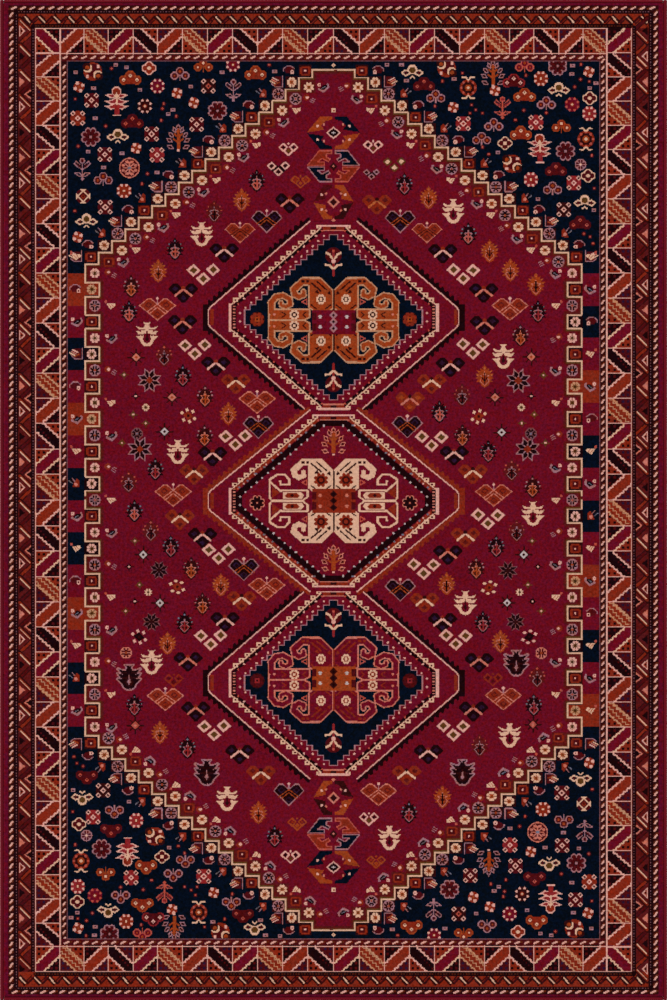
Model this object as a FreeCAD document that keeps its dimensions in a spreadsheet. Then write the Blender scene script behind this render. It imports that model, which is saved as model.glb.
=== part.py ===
"""Area rug, 160 x 240 cm: backing, ground weave, cut pile knotted zone by zone, and wrapped edge cords.

Frame: millimetres, +Z up, +Y towards the head end of the rug. The origin is the centre of the underside.
"""

import os

import FreeCAD
import Part
import Sketcher

doc = FreeCAD.newDocument("area_rug")

# ---------------------------------------------------------------- driving dimensions
DIMENSIONS = {
    # the whole rug
    "rug_width": 1600, "rug_length": 2400,
    "coat_thick": 0.8, "weave_thick": 2.5, "pile_tall": 8.7,
    # wrapped edge: a core cord with an overcast of yarn round it
    "binding": 9.0, "cord_diameter": 5.0, "cord_slack": 0.1,
    # widths of the pile bands, along the two sides and across the two ends
    "band_side": 11, "band_end": 6,
    "outer_guard_side": 24, "outer_guard_end": 19,
    "minor_side": 41, "minor_end": 34,
    "main_side": 62, "main_end": 64,
    "inner_guard_side": 16, "inner_guard_end": 17,
    # stepped outline of the red field
    "crown_half": 52, "crown_gap": 20, "crown_drop": 19.4,
    "step_run": 32, "step_rise": 27.9,
    "tab_pitch": 77.64, "tab_height": 33.6, "tab_depth": 36,
    # three medallions in a row along the centre line
    "waist_half": 57, "medallion_half": 298, "medallion_flank": 56,
    "end_medallion_tall": 452, "middle_medallion_tall": 432,
}
STEPS = 17
TABS = 14

sheet = doc.addObject("Spreadsheet::Sheet", "dims")
sheet.Label = "driving dimensions"
for row, (alias, value) in enumerate(DIMENSIONS.items(), start=1):
    sheet.set(f"A{row}", alias)
    sheet.set(f"B{row}", str(value))
    sheet.setAlias(f"B{row}", alias)
doc.recompute()


def bind(target, **sizes):
    """Binds properties of an object to expressions on the sheet's cells."""
    for name, text in sizes.items():
        path = {"x": "Placement.Base.x", "y": "Placement.Base.y", "z": "Placement.Base.z"}.get(name, name)
        target.setExpression(path, expression(text))


def expression(text):
    """Spells each alias in a formula as the sheet's own cell."""
    words, word = [], ""
    for letter in text + " ":
        if letter.isalnum() or letter == "_":
            word += letter
            continue
        words.append(f"dims.{word}" if word in DIMENSIONS else word)
        words.append(letter)
        word = ""
    return "".join(words).strip()


COAT_TOP = "coat_thick"
PILE_BASE = "coat_thick + weave_thick"


def block(name, x_low, x_high, y_low, y_high, z_low=PILE_BASE, tall="pile_tall"):
    """A box between four edges given as formulas on the sheet."""
    box = doc.addObject("Part::Box", name)
    bind(box, Length=f"({x_high}) - ({x_low})", Width=f"({y_high}) - ({y_low})", Height=tall,
         x=x_low, y=y_low, z=z_low)
    return box


def join(kind, name, pieces):
    """A Part::MultiFuse or Part::Compound of the pieces, labelled as a sub-part."""
    whole = doc.addObject(kind, name)
    if kind == "Part::MultiFuse":
        whole.Shapes = pieces
        whole.Refine = True
    else:
        whole.Links = pieces
    whole.Label = name
    return whole


subparts = []


def keep(piece, label):
    """Labels a finished sub-part and adds it to the list that is written out."""
    piece.Label = label
    subparts.append(piece)
    return piece


# ---------------------------------------------------------------- backing and ground weave
# Two full layers under the pile, both held inside the wrapped edge.
LAYER_X = "(rug_width / 2 - binding)"
LAYER_Y = "(rug_length / 2 - binding)"
keep(block("Backing", f"-{LAYER_X}", LAYER_X, f"-{LAYER_Y}", LAYER_Y, "0", "coat_thick"), "backing_coat")
keep(block("Weave", f"-{LAYER_X}", LAYER_X, f"-{LAYER_Y}", LAYER_Y, COAT_TOP, "weave_thick"), "ground_weave")

# ---------------------------------------------------------------- pile of the five border bands
# Each band is four strips butted at the corners: two that run the full length and two between them.
BANDS = [
    ("pile_outer_band", "band_side", "band_end"),
    ("pile_outer_guard", "outer_guard_side", "outer_guard_end"),
    ("pile_minor_border", "minor_side", "minor_end"),
    ("pile_main_border", "main_side", "main_end"),
    ("pile_inner_guard", "inner_guard_side", "inner_guard_end"),
]
x_edge, y_edge = LAYER_X, LAYER_Y
for label, side, end in BANDS:
    x_inner = f"({x_edge} - {side})"
    y_inner = f"({y_edge} - {end})"
    strips = [
        block(f"{label}_west", f"-{x_edge}", f"-{x_inner}", f"-{y_edge}", y_edge),
        block(f"{label}_east", x_inner, x_edge, f"-{y_edge}", y_edge),
        block(f"{label}_south", f"-{x_inner}", x_inner, f"-{y_edge}", f"-{y_inner}"),
        block(f"{label}_north", f"-{x_inner}", x_inner, y_inner, y_edge),
    ]
    keep(join("Part::Compound", label, strips), label)
    x_edge, y_edge = x_inner, y_inner
FIELD_X, FIELD_Y = x_edge, y_edge

# ---------------------------------------------------------------- corner pile, stepped towards the field
# One column of pile for each step, each column reaching further down than the one before it.
STEP_X = f"(crown_half + {STEPS} * step_run)"
STEP_Y = f"({FIELD_Y} - crown_gap - crown_drop - {STEPS - 1} * step_rise)"
for label, right, up in (
    ("pile_corner_head_left", -1, 1), ("pile_corner_head_right", 1, 1),
    ("pile_corner_foot_left", -1, -1), ("pile_corner_foot_right", 1, -1),
):
    columns = []
    for step in range(STEPS + 2):
        near = "0" if step == 0 else f"(crown_half + {step - 1} * step_run)"
        far = FIELD_X if step == STEPS + 1 else f"(crown_half + {step} * step_run)"
        drop = "0" if step == 0 else f"(crown_drop + {min(step, STEPS) - 1} * step_rise)"
        low = f"({FIELD_Y} - crown_gap - {drop})"
        x_pair = (near, far) if right > 0 else (f"-{far}", f"-{near}")
        y_pair = (low, FIELD_Y) if up > 0 else (f"-{FIELD_Y}", f"-{low}")
        columns.append(block(f"{label}_{step}", *x_pair, *y_pair))
    keep(join("Part::MultiFuse", label, columns), label)

# ---------------------------------------------------------------- side pile, with tabs into the field
for label, right in (("pile_side_left", -1), ("pile_side_right", 1)):
    x_pair = (STEP_X, FIELD_X) if right > 0 else (f"-{FIELD_X}", f"-{STEP_X}")
    pieces = [block(f"{label}_strip", *x_pair, f"-{STEP_Y}", STEP_Y)]
    for tab in range(TABS):
        centre = f"({tab - (TABS - 1) / 2} * tab_pitch)"
        tip = f"({STEP_X} - tab_depth)"
        x_pair = (tip, STEP_X) if right > 0 else (f"-{STEP_X}", f"-{tip}")
        pieces.append(block(f"{label}_tab_{tab}", *x_pair,
                            f"({centre} - tab_height / 2)", f"({centre} + tab_height / 2)"))
    keep(join("Part::MultiFuse", label, pieces), label)


# ---------------------------------------------------------------- medallion pile
def medallion(label, tall, y_centre):
    """A padded sketch: flat waists at both ends, straight shoulders and a short upright flank each side."""
    body = doc.addObject("PartDesign::Body", label + "_body")
    plane = next(item for item in body.Origin.OriginFeatures if item.Role == "XY_Plane")
    sketch = body.newObject("Sketcher::SketchObject", label + "_outline")
    sketch.AttachmentSupport = [(plane, "")]
    sketch.MapMode = "FlatFace"
    waist, half = DIMENSIONS["waist_half"], DIMENSIONS["medallion_half"]
    flank, end = DIMENSIONS["medallion_flank"] / 2, DIMENSIONS[tall] / 2
    corners = [(waist, end), (half, flank), (half, -flank), (waist, -end),
               (-waist, -end), (-half, -flank), (-half, flank), (-waist, end)]
    points = [FreeCAD.Vector(x, y, 0) for x, y in corners]
    for number, point in enumerate(points):
        sketch.addGeometry(Part.LineSegment(point, points[(number + 1) % len(points)]), False)
    start, end_point, origin = 1, 2, -1
    for number in range(len(points)):
        sketch.addConstraint(Sketcher.Constraint("Coincident", number, end_point, (number + 1) % len(points), start))
    for number, (x, y) in enumerate(corners):
        x_size = "waist_half" if abs(x) == waist else "medallion_half"
        y_size = f"{tall} / 2" if abs(y) == end else "medallion_flank / 2"
        for axis, value, size in (("DistanceX", x, x_size), ("DistanceY", y, y_size)):
            place = sketch.addConstraint(Sketcher.Constraint(axis, origin, start, number, start, value))
            sketch.setExpression(f"Constraints[{place}]", ("" if value > 0 else "-") + f"({expression(size)})")
    pad = body.newObject("PartDesign::Pad", label + "_pad")
    pad.Profile = sketch
    sketch.Visibility = False
    bind(pad, Length="pile_tall")
    bind(body, y=y_centre, z=PILE_BASE)
    return keep(body, label)


END_CENTRE = "((middle_medallion_tall + end_medallion_tall) / 2)"
medallion("pile_medallion_head", "end_medallion_tall", END_CENTRE)
medallion("pile_medallion_middle", "middle_medallion_tall", "0")
medallion("pile_medallion_foot", "end_medallion_tall", f"-{END_CENTRE}")

# ---------------------------------------------------------------- field pile
# What is left of the inner rectangle once the corners, side strips and medallions are taken out.
inner = block("Field_rectangle", f"-{FIELD_X}", FIELD_X, f"-{FIELD_Y}", FIELD_Y)
doc.recompute()
others = [piece for piece in subparts if piece.Label.startswith(("pile_corner", "pile_side", "pile_medallion"))]
inlay = doc.addObject("Part::MultiFuse", "Field_inlay")
inlay.Shapes = others
field = doc.addObject("Part::Cut", "Field")
field.Base = inner
field.Tool = inlay
field.Refine = True
keep(field, "pile_field")


# ---------------------------------------------------------------- wrapped edges
# Each edge is a cotton cord laid along the weave, wrapped round and round with yarn.
def rod(name, diameter, length, turn, **place):
    """A cylinder that lies along Y, or along X where it runs across an end."""
    cylinder = doc.addObject("Part::Cylinder", name)
    cylinder.Placement = FreeCAD.Placement(FreeCAD.Vector(), turn)
    bind(cylinder, Radius=f"({diameter}) / 2", Height=length, **place)
    return cylinder


ALONG_Y = FreeCAD.Rotation(FreeCAD.Vector(1, 0, 0), -90)
ALONG_X = FreeCAD.Rotation(FreeCAD.Vector(0, 1, 0), 90)
EDGE_X = "(rug_width / 2 - binding / 2)"
EDGE_Y = "(rug_length / 2 - binding / 2)"
for side, turn, length, x_start, y_start in (
    ("left", ALONG_Y, "rug_length", f"-{EDGE_X}", "-rug_length / 2"),
    ("right", ALONG_Y, "rug_length", EDGE_X, "-rug_length / 2"),
    ("head", ALONG_X, "rug_width - 2 * binding", "-rug_width / 2 + binding", EDGE_Y),
    ("foot", ALONG_X, "rug_width - 2 * binding", "-rug_width / 2 + binding", f"-{EDGE_Y}"),
):
    place = {"x": x_start, "y": y_start, "z": "binding / 2"}
    keep(rod(f"Cord_{side}", "cord_diameter", length, turn, **place), f"edge_cord_{side}")
    outside = rod(f"Wrap_{side}", "binding", length, turn, **place)
    hollow = rod(f"Hollow_{side}", "cord_diameter + 2 * cord_slack", length, turn, **place)
    wrap = doc.addObject("Part::Cut", f"Overcast_{side}")
    wrap.Base = outside
    wrap.Tool = hollow
    keep(wrap, f"overcast_{side}")

# ---------------------------------------------------------------- check and write
doc.recompute()
for item in doc.Objects:
    if {"Invalid", "Error"} & set(item.State):
        raise RuntimeError(f"{item.Name} did not build: {item.State}")
os.makedirs("parts", exist_ok=True)
for piece in subparts:
    shape = piece.Shape
    if shape.isNull() or not shape.isValid() or not shape.Solids:
        raise RuntimeError(f"{piece.Label} has no valid solid")
    shape.exportStep(f"parts/{piece.Label}.step")
    box = shape.BoundBox
    print(f"{piece.Label:24s} solids {len(shape.Solids):2d}  volume {shape.Volume / 1000:10.1f} cm3  "
          f"x {box.XMin:8.1f} {box.XMax:8.1f}  y {box.YMin:8.1f} {box.YMax:8.1f}  z {box.ZMin:5.1f} {box.ZMax:5.1f}")
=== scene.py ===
"""Area rug, 160 x 240 cm: cut wool pile on a woven ground, latex back coat and wrapped edges."""
import math
import bpy
import numpy as np
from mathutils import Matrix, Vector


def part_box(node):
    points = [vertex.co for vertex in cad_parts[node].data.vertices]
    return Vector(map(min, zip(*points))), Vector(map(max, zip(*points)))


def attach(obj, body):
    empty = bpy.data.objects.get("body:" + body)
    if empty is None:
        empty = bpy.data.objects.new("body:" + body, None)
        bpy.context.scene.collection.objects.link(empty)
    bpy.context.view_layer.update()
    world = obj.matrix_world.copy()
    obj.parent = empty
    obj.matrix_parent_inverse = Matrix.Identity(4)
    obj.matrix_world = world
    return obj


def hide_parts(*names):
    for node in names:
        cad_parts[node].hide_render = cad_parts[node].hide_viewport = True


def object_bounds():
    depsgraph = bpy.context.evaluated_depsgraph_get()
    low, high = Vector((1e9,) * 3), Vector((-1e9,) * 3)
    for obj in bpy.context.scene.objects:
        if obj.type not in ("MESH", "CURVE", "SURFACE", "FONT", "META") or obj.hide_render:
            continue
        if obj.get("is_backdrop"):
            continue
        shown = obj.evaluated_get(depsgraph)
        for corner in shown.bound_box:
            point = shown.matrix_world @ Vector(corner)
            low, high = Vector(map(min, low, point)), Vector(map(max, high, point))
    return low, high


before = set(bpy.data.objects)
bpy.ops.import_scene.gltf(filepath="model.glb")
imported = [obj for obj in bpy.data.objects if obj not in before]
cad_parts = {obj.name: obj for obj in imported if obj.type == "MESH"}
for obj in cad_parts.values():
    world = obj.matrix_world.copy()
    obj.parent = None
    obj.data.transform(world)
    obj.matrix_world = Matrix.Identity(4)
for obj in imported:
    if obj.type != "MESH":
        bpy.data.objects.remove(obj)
cad_low, cad_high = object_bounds()

# ---------------------------------------------------------------- camera, light and floor
# The rug lies flat under soft even light and is seen from straight above, edge to edge.
# A pale sky gives most of the light; a wide low sun from the head end picks out the pile.
rug_length = cad_high.y - cad_low.y
scene = bpy.context.scene
scene.view_settings.view_transform = "Standard"
camera_data = bpy.data.cameras.new("camera")
camera_data.lens = 200
camera_data.clip_end = 200
camera = bpy.data.objects.new("camera", camera_data)
seen_length = rug_length * 0.9985
camera.location = (0, 0, cad_high.z + seen_length * camera_data.lens / camera_data.sensor_width)
scene.collection.objects.link(camera)
scene.camera = camera

sky = bpy.data.worlds.new("studio")
sky.use_nodes = True
sky.node_tree.nodes["Background"].inputs["Color"].default_value = (1.0, 0.99, 0.975, 1)
sky.node_tree.nodes["Background"].inputs["Strength"].default_value = 0.62
scene.world = sky

lamp_data = bpy.data.lights.new("window", "SUN")
lamp_data.angle = math.radians(50)
lamp_data.energy = 1.9
lamp = bpy.data.objects.new("window", lamp_data)
lamp.rotation_euler = (math.radians(-42), math.radians(-24), 0)
scene.collection.objects.link(lamp)

floor_mesh = bpy.data.meshes.new("floor")
reach = 60
floor_mesh.from_pydata([(-reach, -reach, 0), (reach, -reach, 0), (reach, reach, 0), (-reach, reach, 0)], [],
                       [(0, 1, 2, 3)])
floor = bpy.data.objects.new("floor", floor_mesh)
floor.location.z = cad_low.z
scene.collection.objects.link(floor)
floor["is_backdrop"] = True


MIX_FACTOR, MIX_FIRST, MIX_SECOND = 0, 6, 7      # a Mix node's sockets when it mixes colours
MIX_COLOUR = 2


class Wire:
    """A value in a shader. + - and * on wires and numbers add Math nodes."""

    def __init__(self, tree, socket=None):
        self.tree = tree
        self.socket = socket

    def node(self, kind, settings, inputs, out=0):
        """Adds a node: its settings first, then the values or wires of its sockets."""
        made = self.tree.nodes.new("ShaderNode" + kind)
        for name, value in settings.items():
            if name == "stops":
                ramp = made.color_ramp
                while len(ramp.elements) < len(value):
                    ramp.elements.new(1)
                for element, (place, colour) in zip(ramp.elements, value):
                    element.position = place
                    element.color = (*colour, 1)
            elif name == "spread":
                made.color_ramp.interpolation = value
            else:
                setattr(made, name, value)
        for name, value in inputs.items():
            if isinstance(value, Wire):
                self.tree.links.new(value.socket, made.inputs[name])
            else:
                made.inputs[name].default_value = value
        return Wire(self.tree, made.outputs[out])

    def sum(self, operation, first, second):
        return self.node("Math", {"operation": operation}, {0: first, 1: second})

    def __add__(self, other):
        return self.sum("ADD", self, other)

    def __radd__(self, other):
        return self.sum("ADD", other, self)

    def __sub__(self, other):
        return self.sum("SUBTRACT", self, other)

    def __rsub__(self, other):
        return self.sum("SUBTRACT", other, self)

    def __mul__(self, other):
        return self.sum("MULTIPLY", self, other)

    def __rmul__(self, other):
        return self.sum("MULTIPLY", other, self)

    def mix(self, first, second):
        """Two colours mixed by this wire."""
        return self.node("Mix", {"data_type": "RGBA"},
                         {MIX_FACTOR: self, MIX_FIRST: first, MIX_SECOND: second}, MIX_COLOUR)

    def shaded(self, colour):
        """A colour multiplied by this wire."""
        return self.node("Mix", {"data_type": "RGBA", "blend_type": "MULTIPLY"},
                         {MIX_FACTOR: 1.0, MIX_FIRST: colour, MIX_SECOND: self}, MIX_COLOUR)

    def into(self, shader, name):
        """Feeds one of a shader's sockets."""
        self.tree.links.new(self.socket, shader.inputs[name])


def new_material(name, roughness, **constants):
    """A Principled material, its shader and a wire on its tree. Constants go on the shader itself."""
    material = bpy.data.materials.new(name)
    material.use_nodes = True
    shader = material.node_tree.nodes["Principled BSDF"]
    shader.inputs["Roughness"].default_value = roughness
    for socket, value in constants.items():
        shader.inputs[socket.replace("_", " ")].default_value = value
    return material, shader, Wire(material.node_tree)


def rgb(red, green, blue):
    """A display colour, 0 to 255, as the linear colour that a shader takes."""
    return tuple(part / 3294.6 if part <= 10 else ((part / 255 + 0.055) / 1.055) ** 2.4
                 for part in (red, green, blue))


plaster, shader, wire = new_material("pale_floor", 0.85)
place = wire.node("TexCoord", {}, {}, "Object")
cloud = wire.node("TexNoise", {}, {"Vector": place, "Scale": 1.3, "Detail": 4.0})
tint = cloud.mix((*rgb(223, 220, 214), 1), (*rgb(229, 227, 222), 1))
tint.into(shader, "Base Color")
floor.data.materials.append(plaster)

# ---------------------------------------------------------------- loom
# The whole face of the rug is one field of knots, five to the centimetre each way, knotted on
# the ground weave inside the wrapped edge. Each knot has the number of its yarn. Lengths here
# are in centimetres from the rug's middle, x across and y towards the head end.
KNOT = 0.2
ground_low, ground_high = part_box("ground_weave")
loom_left, loom_foot = ground_low.x * 100, ground_low.y * 100
columns = round((ground_high.x * 100 - loom_left) / KNOT)
rows = round((ground_high.y * 100 - loom_foot) / KNOT)

YARNS = {
    "crimson": rgb(99, 12, 29), "claret": rgb(90, 10, 33), "madder": rgb(128, 32, 34),
    "maroon": rgb(72, 12, 16), "umber": rgb(46, 11, 12), "walnut": rgb(92, 36, 16),
    "ink": rgb(26, 6, 9), "navy": rgb(5, 12, 24), "rust": rgb(122, 36, 20),
    "copper": rgb(142, 56, 24), "orange": rgb(164, 84, 46), "olive": rgb(84, 52, 22),
    "cream": rgb(206, 160, 134), "blush": rgb(206, 150, 137), "salmon": rgb(184, 104, 88),
    "coral": rgb(166, 72, 60), "plum": rgb(150, 100, 104), "slate": rgb(104, 96, 106),
    "khaki": rgb(176, 124, 94), "dusk": rgb(112, 66, 70), "violet": rgb(40, 18, 40),
    "sienna": rgb(84, 20, 20), "pearl": rgb(176, 158, 156),
}
yarn_number = {name: number for number, name in enumerate(YARNS)}
knots = np.full((rows, columns), yarn_number["crimson"], np.uint8)
knot_x = loom_left + (np.arange(columns) + 0.5) * KNOT
knot_y = loom_foot + (np.arange(rows) + 0.5) * KNOT


def footprint(node):
    """True for each knot whose middle lies over a CAD node's top."""
    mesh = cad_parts[node].data
    over = np.zeros((rows, columns), bool)
    top = max(vertex.co.z for vertex in mesh.vertices)
    for face in mesh.polygons:
        corners = [mesh.vertices[number].co for number in face.vertices]
        if min(corner.z for corner in corners) > top - 1e-5:
            window, held = Needle().inside([(corner.x * 100, corner.y * 100) for corner in corners])
            over[window] |= held
    return over


class Needle:
    """Knots shapes in yarn round a place on the rug. Shapes are given in centimetres before the
    needle's own size, flip and turn, and stay inside its area."""

    def __init__(self, area=None):
        self.middle = np.zeros(2)
        self.matrix = np.eye(2)
        self.size = 1.0
        self.area = area

    def at(self, x, y, size=1.0, turn=0.0, flip=False):
        """A needle at a place of this one's own."""
        cos, sin = math.cos(math.radians(turn)), math.sin(math.radians(turn))
        stretch = np.diag((-size if flip else size, size))
        other = Needle(self.area)
        other.middle = self.matrix @ (x, y) + self.middle
        other.matrix = self.matrix @ np.array(((cos, -sin), (sin, cos))) @ stretch
        other.size = self.size * size
        return other

    def near(self, corners, margin):
        """The part of the loom round some points, and the places of the knots in it."""
        first = np.floor((corners.min(0) - margin - (loom_left, loom_foot)) / KNOT).astype(int)
        last = np.ceil((corners.max(0) + margin - (loom_left, loom_foot)) / KNOT).astype(int)
        first, last = np.maximum(first, 0), np.maximum(last, 0)
        window = (slice(first[1], last[1]), slice(first[0], last[0]))
        return window, knot_x[window[1]][None, :], knot_y[window[0]][:, None]

    def inside(self, corners):
        """The part of the loom round an outline, and which of its knots the outline holds."""
        corners = np.asarray(corners, float) @ self.matrix.T + self.middle
        window, x, y = self.near(corners, 0)
        held = np.zeros((y.size, x.size), bool)
        for (ax, ay), (bx, by) in zip(corners, np.roll(corners, -1, 0)):
            if ay != by:
                held ^= ((ay > y) != (by > y)) & (x < ax + (y - ay) * (bx - ax) / (by - ay))
        return window, held

    def knot(self, window, inside, yarn):
        """Ties one yarn into the knots of a window that lie inside a shape and this needle's area."""
        if self.area is not None:
            inside = inside & self.area[window]
        knots[window][inside] = yarn_number[yarn]

    def patch(self, corners, yarn):
        """A filled outline."""
        self.knot(*self.inside(corners), yarn)

    def block(self, left, low, right, high, yarn):
        """A filled rectangle."""
        self.patch([(left, low), (right, low), (right, high), (left, high)], yarn)

    def lozenge(self, x, y, half_wide, half_tall, yarn):
        """A filled diamond."""
        self.patch([(x - half_wide, y), (x, y - half_tall), (x + half_wide, y), (x, y + half_tall)], yarn)

    def line(self, points, yarn, width=0.3, closed=False):
        """A line of one width through some points, with round ends."""
        points = np.asarray(points, float) @ self.matrix.T + self.middle
        reach = width * self.size / 2
        window, x, y = self.near(points, reach)
        inside = np.zeros((y.size, x.size), bool)
        ends = np.roll(points, -1, 0) if closed else points[1:]
        for (ax, ay), (bx, by) in zip(points, ends):
            run = max((bx - ax) ** 2 + (by - ay) ** 2, 1e-9)
            along = np.clip(((x - ax) * (bx - ax) + (y - ay) * (by - ay)) / run, 0, 1)
            away = (x - ax - along * (bx - ax)) ** 2 + (y - ay - along * (by - ay)) ** 2
            inside |= away <= reach ** 2
        self.knot(window, inside, yarn)

    def dot(self, x, y, radius, yarn, inner=0.0):
        """A round spot, or a ring where it has an inner radius."""
        middle = self.matrix @ (x, y) + self.middle
        window, across, up = self.near(middle[None, :], radius * self.size)
        away = (across - middle[0]) ** 2 + (up - middle[1]) ** 2
        inside = (away <= (radius * self.size) ** 2) & (away >= (inner * self.size) ** 2)
        self.knot(window, inside, yarn)

    def both(self):
        """This needle and its mirror image across its own upright axis."""
        return self, self.at(0, 0, flip=True)

    def upended(self):
        """This needle mirrored end to end."""
        return self.at(0, 0, turn=180).at(0, 0, flip=True)

    def dots_round(self, away, radius, yarn, start=0.5):
        """Eight spots in a ring round this needle. start turns the ring by that part of a step."""
        for turn in range(8):
            angle = math.tau * (turn + start) / 8
            self.dot(away * math.cos(angle), away * math.sin(angle), radius, yarn)


def wide(node):
    """How far a node reaches from the rug's middle, across and along, in centimetres."""
    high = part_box(node)[1]
    return high.x * 100, high.y * 100


# The foot half of the rug carries the head half's borders and corners, turned half round.
halves = (Needle(), Needle().at(0, 0, turn=180))

# ---------------------------------------------------------------- outer band
# A plain band of crimson wool knots next to the wrapped edge, as on the rest of the face. Its
# inner side is knotted in a darker and more purple yarn.
band = footprint("pile_outer_band")
guard_wide, guard_long = wide("pile_outer_guard")
knots[band & (np.abs(knot_x) < guard_wide + 0.8) & (np.abs(knot_y)[:, None] < guard_long + 0.8)] = \
    yarn_number["claret"]

# ---------------------------------------------------------------- outer guard
# A barber-pole stripe: slanted strokes of blush wool knotted on brown, with a dotted dark line
# inside it. The strokes lie flatter and further apart along the ends than down the sides.
STROKE_END, STROKE_SIDE = 2.25, 1.7
DASH = 0.68
guard = footprint("pile_outer_guard")
knots[guard] = yarn_number["umber"]
minor_wide, minor_long = wide("pile_minor_border")


def barber_pole(needle, start, stop, step, stroke, ground):
    """Slanted strokes along x, each a light stroke with a warmer one beside it."""
    for place in np.arange(start, stop, step):
        stitch = needle.at(place, 0)
        stitch.line([(-0.3 - stroke[0], -stroke[1]), (-0.3 + stroke[0], stroke[1])], ground, 0.42)
        stitch.line([(0.25 - stroke[0], -stroke[1]), (0.25 + stroke[0], stroke[1])], "blush", 0.42)


for half in halves:
    half.area = guard
    along_end = half.at(0, guard_long - 0.62)
    barber_pole(along_end, -guard_wide + 1.1, guard_wide - 0.9, STROKE_END, (0.5, 0.24), "walnut")
    down_side = half.at(-guard_wide + 0.75, 0)
    for place in np.arange(guard_long - 0.6 - STROKE_SIDE, -guard_long + 1.0, -STROKE_SIDE):
        down_side.line([(-0.36, place - 0.62), (0.34, place - 0.02)], "walnut", 0.5)
        down_side.line([(-0.28, place - 0.3), (0.28, place + 0.48)], "blush", 0.42)
    half.line([(-minor_wide - 0.5, -minor_long), (-minor_wide - 0.5, minor_long + 0.45),
               (minor_wide, minor_long + 0.45)], "ink", 0.8)
    for place in np.arange(-minor_wide, minor_wide, DASH):
        half.block(place, minor_long + 0.35, place + 0.3, minor_long + 0.55, "dusk")
    for place in np.arange(-minor_long, minor_long, DASH):
        half.block(-minor_wide - 0.6, place, -minor_wide - 0.4, place + 0.3, "dusk")

# ---------------------------------------------------------------- minor border
# A zigzag ribbon: rust along the ends, maroon down the sides, where its outer triangles take
# turns at a rose outline, black and salmon. A cream stitch lies on each falling leg.
ZIGZAG_END, ZIGZAG_SIDE, ZIGZAGS_DOWN = 3.52, 6.076, 38
minor = footprint("pile_minor_border")
main_wide, main_long = wide("pile_main_border")
knots[minor] = yarn_number["sienna"]
for half in halves:
    half.area = minor
    half.block(-minor_wide, main_long, minor_wide, minor_long, "rust")
    for place in np.arange(-minor_wide + 1.5, minor_wide - 1, ZIGZAG_END):
        leg = half.at(place, main_long + 1.8)
        leg.patch([(1.4, -0.7), (2.1, -0.7), (3.5, 1.0), (2.8, 1.0)], "maroon")
        leg.line([(1.35, -0.75), (2.95, 0.95)], "umber", 0.3)
        leg.line([(2.2, -0.9), (3.6, 0.6)], "umber", 0.3)
        leg.line([(-0.35, 0.75), (1.25, -1.0)], "umber", 0.55)
        leg.line([(0.35, 1.15), (1.75, -0.4)], "umber", 0.55)
        leg.line([(0.1, 0.85), (1.35, -0.5)], "cream", 0.3)
    for number in range(ZIGZAGS_DOWN):
        middle = minor_long - 4.2 - ZIGZAG_SIDE * number
        side = half.at(-main_wide - 2.05, middle)
        outer, inner = -1.75, 1.05
        side.line([(outer + 0.1, 2.9), (inner, 0.2)], "umber", 1.1)
        side.line([(outer + 0.1, 2.75), (inner, 0.05)], "rust", 0.6)
        side.line([(outer + 0.3, 2.4), (inner - 0.25, 0.15)], "cream", 0.24)
        side.line([(outer + 0.1, -3.1), (inner, -0.6)], "umber", 1.1)
        side.line([(outer + 0.1, -3.1), (inner, -0.6)], "rust" if number % 3 == 0 else "maroon", 0.6)
        if number % 3 == 0:
            side.patch([(outer, 1.35), (outer, -1.35), (-0.3, 0)], "blush")
            side.patch([(outer + 0.25, 0.9), (outer + 0.25, -0.9), (-0.75, 0)], "rust")
            side.dot(outer + 0.5, 0, 0.22, "ink")
        elif number % 3 == 1:
            side.patch([(outer, 1.1), (outer, -1.1), (-0.35, 0)], "ink")
        else:
            side.patch([(outer, 1.15), (outer, -1.15), (-0.4, 0)], "salmon")
            side.patch([(inner + 0.05, -1.75), (inner + 0.05, -4.3), (-0.55, -3.0)], "salmon")
            side.patch([(inner + 0.05, -2.15), (inner + 0.05, -3.85), (-0.1, -3.0)], "ink")
    half.line([(-main_wide - 0.6, -main_long), (-main_wide - 0.6, main_long + 0.45),
               (main_wide, main_long + 0.45)], "ink", 0.9)
    for place in np.arange(-main_wide, main_wide, DASH):
        half.block(place, main_long + 0.25, place + 0.34, main_long + 0.5, "walnut")
    for place in np.arange(-main_long, main_long, DASH):
        half.block(-main_wide - 0.7, place, -main_wide - 0.5, place + 0.3, "dusk")

# ---------------------------------------------------------------- main border
# Square cells, each crossed by a bar between two saw-toothed cream lines. Bars lean left and
# right by turns, and four bar colours follow one another. The half cells hold small squares.
CELLS_END, CELLS_SIDE = 24, 38
CELL_GROUNDS = {
    "crimson": ("crimson", "cream"), "rust": ("rust", "blush"), "checks": ("rust", "khaki"),
    "dark": ("ink", "blush"),
}
main = footprint("pile_main_border")
inner_wide, inner_long = wide("pile_inner_guard")
knots[main] = yarn_number["maroon"]


def half_cell(needle, size, yarn):
    """The corner of a cell beside its bar, with a few small squares in it."""
    wide_x, tall_y = size
    needle.patch([(0, 0), (wide_x * 0.66, 0), (0, tall_y * 0.66)], yarn)
    spots = {"ink": "maroon", "rust": "ink", "maroon": "violet"}[yarn]
    for x, y in ((0.75, 0.8), (2.0, 0.75), (0.8, 2.1)):
        needle.block(x - 0.3, y - 0.3, x + 0.3, y + 0.3, spots)


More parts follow.
